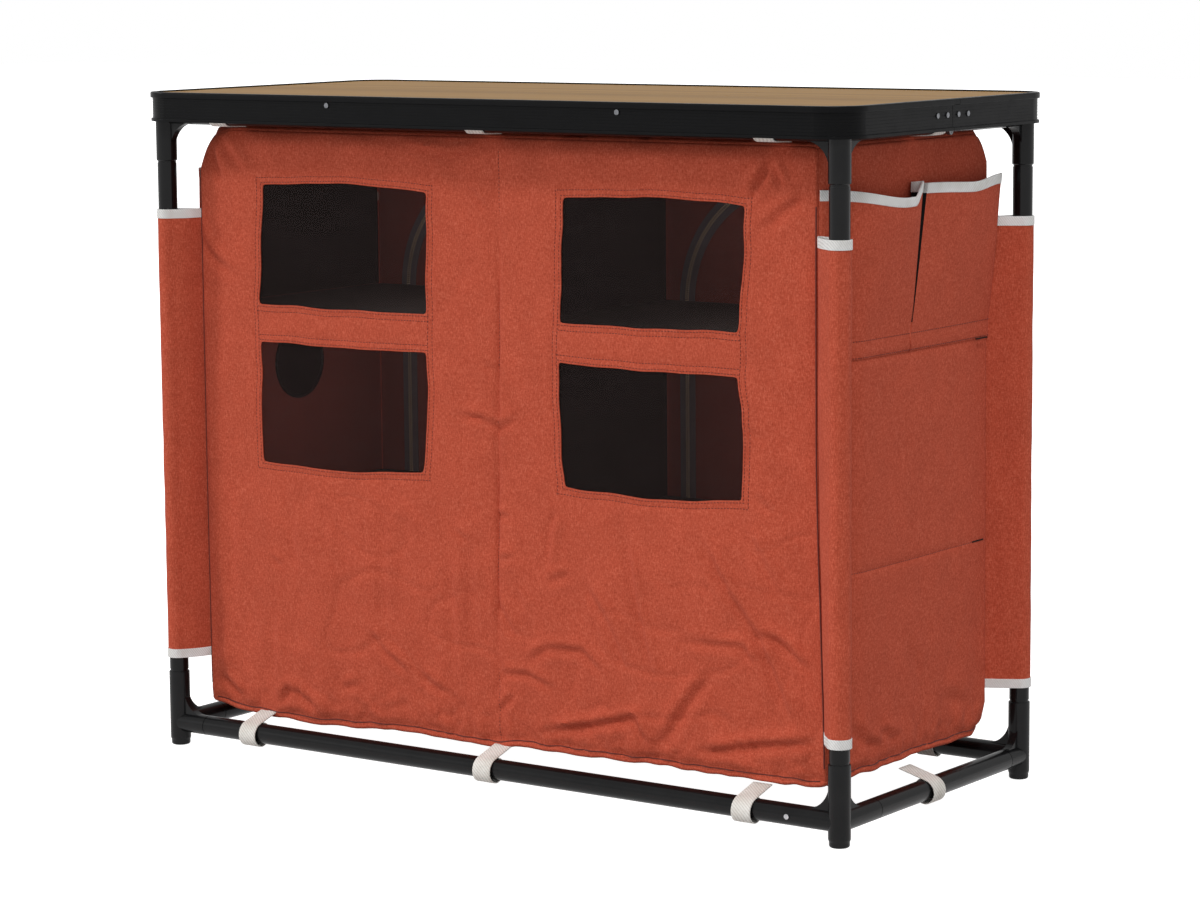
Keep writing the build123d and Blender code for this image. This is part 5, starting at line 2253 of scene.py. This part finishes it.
@dataclass
class Studio:
    """Plain pale studio and the camera at the photograph's place."""

    camera_place: tuple[float, float, float] = (2.5136, -3.4993, 0.9680)
    yaw: float = 35.475
    pitch: float = 7.826
    roll: float = -0.492
    lens: float = 109.9
    sky: float = 0.57
    key: float = 1.054
    high: float = 0.986
    top: float = 0.12
    inside: float = 0.55

    def camera(self) -> None:
        """Set up the camera."""
        yaw, pitch, roll = (math.radians(v) for v in (self.yaw, self.pitch, self.roll))
        look = Vector(
            (
                -math.sin(yaw) * math.cos(pitch),
                math.cos(yaw) * math.cos(pitch),
                -math.sin(pitch),
            )
        )
        level = look.cross(Vector((0, 0, 1))).normalized()
        up = level.cross(look)
        right = level * math.cos(roll) + up * math.sin(roll)
        top = up * math.cos(roll) - level * math.sin(roll)
        deselect()
        bpy.ops.object.camera_add(location=self.camera_place)
        camera = bpy.context.active_object
        camera.name = "photo_camera"
        turn = Matrix((right, top, -look)).transposed()
        camera.rotation_euler = turn.to_euler()
        camera.data.lens = self.lens
        camera.data.sensor_width = 36.0
        camera.data.clip_start = 0.1
        camera.data.clip_end = 100.0
        bpy.context.scene.camera = camera

    def white_to_eye(self, tree: bpy.types.NodeTree) -> Socket:
        """Value of 1 for rays from the camera, in mirrors and through clear things."""
        path = tree.nodes.new("ShaderNodeLightPath")
        total = path.outputs["Is Camera Ray"]
        for name in ("Is Glossy Ray", "Is Transmission Ray"):
            add = tree.nodes.new("ShaderNodeMath")
            add.operation = "ADD"
            add.use_clamp = True
            tree.links.new(total, add.inputs[0])
            tree.links.new(path.outputs[name], add.inputs[1])
            total = add.outputs[0]
        return total

    def world(self) -> None:
        """Soft even sky that shows as white."""
        world = bpy.data.worlds.new("studio_white")
        world.use_nodes = True
        tree = world.node_tree
        tree.nodes.clear()
        output = tree.nodes.new("ShaderNodeOutputWorld")
        mix = tree.nodes.new("ShaderNodeMixShader")
        for socket, strength in ((1, self.sky), (2, 1.0)):
            light = tree.nodes.new("ShaderNodeBackground")
            light.inputs["Color"].default_value = (1.0, 1.0, 1.0, 1.0)
            light.inputs["Strength"].default_value = strength
            tree.links.new(light.outputs["Background"], mix.inputs[socket])
        tree.links.new(self.white_to_eye(tree), mix.inputs["Fac"])
        tree.links.new(mix.outputs["Shader"], output.inputs["Surface"])
        bpy.context.scene.world = world

    def lamps(self) -> None:
        """Low key from the front left, a high one from the front right, a weak one from above."""
        for name, place, strength, size in (
            ("key_light", (-4.3, -3.0, 1.9), self.key, 0.16),
            ("high_light", (1.9, -2.9, 4.2), self.high, 0.16),
            ("top_light", (0.5, -0.5, 5.0), self.top, 1.0),
        ):
            deselect()
            bpy.ops.object.light_add(type="SUN", location=place)
            lamp = bpy.context.active_object
            lamp.name = name
            lamp.data.energy = strength
            lamp.data.angle = size
            aim = Vector((0, 0, 0.4)) - Vector(place)
            lamp.rotation_euler = aim.to_track_quat("-Z", "Y").to_euler()

    def inside_light(self) -> None:
        """Weak light in each compartment, for the daylight that comes through its cloth."""
        for side in Side:
            for height in (0.43, 0.65):
                deselect()
                bpy.ops.object.light_add(
                    type="POINT", location=(0.23 * side.value, -0.02, height), radius=0.06
                )
                lamp = bpy.context.active_object
                lamp.name = f"through_cloth_{side.word}_{round(height * 100)}"
                lamp.data.energy = self.inside
                lamp.data.color = (1.0, 0.82, 0.76)
                lamp.visible_camera = False

    def floor(self) -> None:
        """Plain pale floor that shows as white."""
        deselect()
        bpy.ops.mesh.primitive_plane_add(size=40.0, location=(0.0, 0.0, -0.0005))
        floor = bpy.context.active_object
        floor.name = "studio_floor"
        bench = ShaderBench("pale_floor")
        cloud = bench.grain(bench.object_place(), 3.0, 3.0, 0.5)
        bench.tint(cloud, (0.2, "C9C9C9"), (0.8, "CDCDCD"))
        bench.set(Roughness=0.9, Specular_IOR_Level=0.0)
        bench.shader.inputs["Emission Color"].default_value = (1.0, 1.0, 1.0, 1.0)
        bench.feed("Emission Strength", self.white_to_eye(bench.tree))
        floor.data.materials.append(bench.material)

    def build(self) -> None:
        """Set up the whole studio."""
        self.camera()
        self.world()
        self.lamps()
        self.inside_light()
        self.floor()
        bpy.context.scene.view_settings.view_transform = "Standard"


def front_creases() -> tuple[Crease, ...]:
    """Folds that show on the windowed front, in millimetres across and up."""
    strong, soft = 2.2, 1.1
    aside, sharper, narrowest = -5.0, 0.86, 4.4
    folds = (
        Crease(((282, 325), (322, 261), (358, 216), (413, 105)), strong, 7),
        Crease(((358, 221), (400, 205), (437, 179)), 1.8, 7),
        Crease(((249, 200), (340, 200), (355, 182)), 1.5, 6),
        Crease(((182, 318), (197, 237), (222, 146)), 1.5, 7),
        Crease(((125, 255), (158, 212), (185, 152)), 1.5, 7),
        Crease(((43, 152), (73, 170), (122, 173), (158, 146)), 1.5, 6),
        Crease(((0, 224), (25, 182)), 1.3, 6),
        Crease(((0, 134), (43, 137), (85, 124)), 1.4, 5),
        Crease(((88, 334), (79, 309), (73, 261)), soft, 6),
        Crease(((76, 249), (110, 261)), soft, 6),
        Crease(((225, 67), (267, 127), (304, 170)), 1.8, 8),
        Crease(((285, 73), (352, 88), (443, 103)), strong, 7),
        Crease(((0, 91), (25, 112)), 1.3, 5),
        Crease(((61, 73), (122, 85), (194, 103), (213, 67)), strong, 6),
        Crease(((346, 334), (388, 261)), 1.4, 8),
        Crease(((355, 370), (382, 352)), 1.3, 6),
        Crease(((340, 443), (376, 430)), soft, 6),
        Crease(((346, 694), (362, 712), (379, 734)), strong, 6),
        Crease(((379, 734), (400, 709)), 1.6, 6),
        Crease(((352, 655), (400, 682), (437, 700)), 1.6, 8),
        Crease(((-60, 434), (-17, 431), (7, 421), (43, 437)), 1.6, 5),
        Crease(((-14, 497), (3, 486)), soft, 5),
        Crease(((-133, 740), (-60, 731), (-11, 740)), 1.5, 5),
        Crease(((-36, 697), (-8, 672)), soft, 6),
        Crease(((-454, 637), (-430, 604), (-381, 576)), 1.6, 7),
        Crease(((-411, 746), (-388, 722), (-369, 703)), 1.8, 7),
        Crease(((-423, 733), (-405, 690)), 1.3, 7),
        Crease(((-305, 320), (-301, 225)), 0.8, 9),
        Crease(((-251, 330), (-251, 240)), 0.6, 9),
        Crease(((-163, 320), (-166, 170)), 0.8, 9),
        Crease(((-66, 290), (-62, 100)), 0.8, 8),
        Crease(((-36, 290), (-33, 170)), 0.8, 8),
        Crease(((-402, 330), (-404, 150)), 0.8, 10),
        Crease(((-336, 180), (-342, 90)), 0.8, 8),
        Crease(((-193, 170), (-163, 139), (-127, 118)), 1.5, 6),
        Crease(((-339, 243), (-324, 230)), 1.2, 5),
        Crease(((-230, 94), (-205, 101)), 1.2, 5),
        Crease(((-424, 85), (-390, 66)), 1.8, 7),
        Crease(((-330, 70), (-316, 84), (-300, 82), (-260, 61)), 1.8, 6),
        Crease(((-114, 121), (-78, 103)), 1.2, 6),
        Crease(((-60, 300), (-36, 284)), 0.8, 5),
        Crease(((0, 320), (22, 319)), 1.0, 5),
        Crease(((5, 268), (30, 274)), 1.0, 5),
        Crease(((30, 236), (40, 212)), 0.9, 6),
    )
    shown = []
    for fold in folds:
        path = tuple((x + aside, z) for x, z in fold.path)
        shown.append(Crease(path, fold.depth, max(narrowest, fold.width * sharper)))
    return tuple(shown)


def window_cuts(cloth: CabinetCloth) -> tuple[WindowCut, ...]:
    """The four window openings.

    Args:
        cloth: the cabinet, with the edges of the window pairs and of the two rows.

    Returns:
        Openings with their corners' moves (lower left, lower right, upper left, upper right)
        and their bulges (bottom, top, left, right), in millimetres.
    """
    left, right = cloth.windows_left, cloth.windows_right
    pulls = (
        (left, cloth.upper, ((-2, -1), (2, -1), (5, 1), (3, 0)), (-1, 5, 0, 0)),
        (left, cloth.lower, ((-1, -2), (-5, 3), (-2, 0), (2, 0)), (-5, -1, 1, 4)),
        (right, cloth.upper, ((3, -1), (-6, 2), (8, 0), (3, 0)), (-1, 4, 1, 2)),
        (right, cloth.lower, ((9, 1), (-1, 5), (2, 0), (-6, -1)), (-5, -2, -2, 4)),
    )
    return tuple(
        WindowCut((pair[0], level[0]), (pair[1], level[1]), shifts, bulges)
        for pair, level, shifts, bulges in pulls
    )


def front_grooves(cloth: CabinetCloth) -> tuple[Crease, ...]:
    """Grooves under the stitch lines of the front, in millimetres.

    Args:
        cloth: the cabinet, with its windows and its centre seam.

    Returns:
        Grooves round the windows, along their bars and down the centre seam.
    """
    grooves = []
    gap, bar = cloth.frame_gap / MM, cloth.bar_stitch / MM
    low, high = cloth.lower[0] / MM - gap, cloth.upper[1] / MM + gap
    for side in Side:
        left, right = (edge / MM for edge in cloth.pair(side))
        corners = ((left - gap, low), (right + gap, low), (right + gap, high), (left - gap, high))
        for start, end in zip(corners, (*corners[1:], corners[0])):
            grooves.append(Crease((start, end), 0.9, 1.5, True))
        for t in (cloth.lower[1] / MM + bar, cloth.upper[0] / MM - bar):
            grooves.append(Crease(((left, t), (right, t)), 0.8, 1.5, True))
    seam = ((cloth.seam_at(0.058) / MM, 58), (cloth.seam_at(0.745) / MM, 745))
    grooves.append(Crease(seam, 3.2, 2.6, True))
    return tuple(grooves)


def build_cabinet(tailor: Tailor, needle: Needle) -> CabinetCloth:
    """Build the cabinet's cloth.

    Args:
        tailor: hangs and reports each piece.
        needle: sews the stitch lines.

    Returns:
        The finished cabinet cloth.
    """
    form = CabinetForm()
    skin = CabinetSkin(form)
    cloth = CabinetCloth(tailor, form, skin)
    skin.windows = window_cuts(cloth)
    skin.creases = {
        Face.FRONT: front_creases(),
        Face.RIGHT: (
            Crease(((-132, 122), (-105, 92), (-60, 72)), 1.8, 7),
            Crease(((-75, 100), (-30, 78)), 1.4, 7),
            Crease(((-20, 190), (20, 150)), 0.7, 10),
            Crease(((60, 120), (125, 95)), 1.0, 10),
        ),
        Face.LEFT: (
            Crease(((-120, 118), (-60, 76)), 1.6, 8),
            Crease(((40, 80), (110, 105)), 1.2, 8),
        ),
    }
    shelf_grooves = tuple(
        Crease(((-168, height / MM), (164, height / MM)), 2.0, 1.9, True)
        for height in cloth.shelf_seams
    )
    skin.grooves = {
        Face.FRONT: front_grooves(cloth),
        Face.RIGHT: shelf_grooves,
        Face.LEFT: shelf_grooves,
    }

    def calm_front(s: float, t: float) -> float:
        """Share of the folds that is left near the windows and between them."""
        near = min(abs(w.distance(s, t)) for w in skin.windows)
        inside = any(w.distance(s, t) < 0.012 for w in skin.windows)
        bar = cloth.lower[1] < t < cloth.upper[0] and not inside
        return 0.45 if inside or bar else 0.45 + 0.55 * smooth(near / 0.05)

    def calm_back(s: float, t: float) -> float:
        """Share of the folds that is left near the door zips."""
        gaps = [abs(cloth.door_distance(-s, t, side)) for side in Side]
        return smooth((min(gaps) - 0.012) / 0.06)

    skin.calm = {Face.FRONT: calm_front, Face.BACK: calm_back}
    cloth.build(needle)
    return cloth


def main() -> None:
    """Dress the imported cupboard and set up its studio."""
    logging.basicConfig(level=logging.INFO, format="%(message)s")
    # Vector noise starts from the clock without a seed, so the hem would differ each run.
    noise.seed_set(RIPPLE_SEED)
    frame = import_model()
    finishes = Finishes()
    finishes.build()
    FrameFinish(finishes, frame).dress()
    tailor = Tailor(finishes)
    needle = Needle()
    WebbingStraps(
        tailor, "bottom_straps_webbing", "bottom_straps", 0.028, 0.050, (-0.355, 0.0, 0.355)
    ).build()
    WebbingStraps(
        tailor, "top_straps_webbing", "top_straps", 0.773, 0.7590, (-0.385, 0.0, 0.385), slack=0.0004
    ).build()
    cloth = build_cabinet(tailor, needle)
    bindings = []
    for side in Side:
        SidePocket(tailor, cloth, side).build(needle)
        for depth in Depth:
            bindings.append(LegSleeve(tailor, cloth.form, side, depth).build())
        DoorZip(tailor, cloth, side).build()
    binding = joined(bindings, "sleeve_bindings_white")
    tailor.hang(binding, ROOT, "white_binding", ["sleeve_bindings"], 50)
    CablePort(tailor).build()
    Studio().build()
    deselect()


if __name__ == "__main__":
    main()
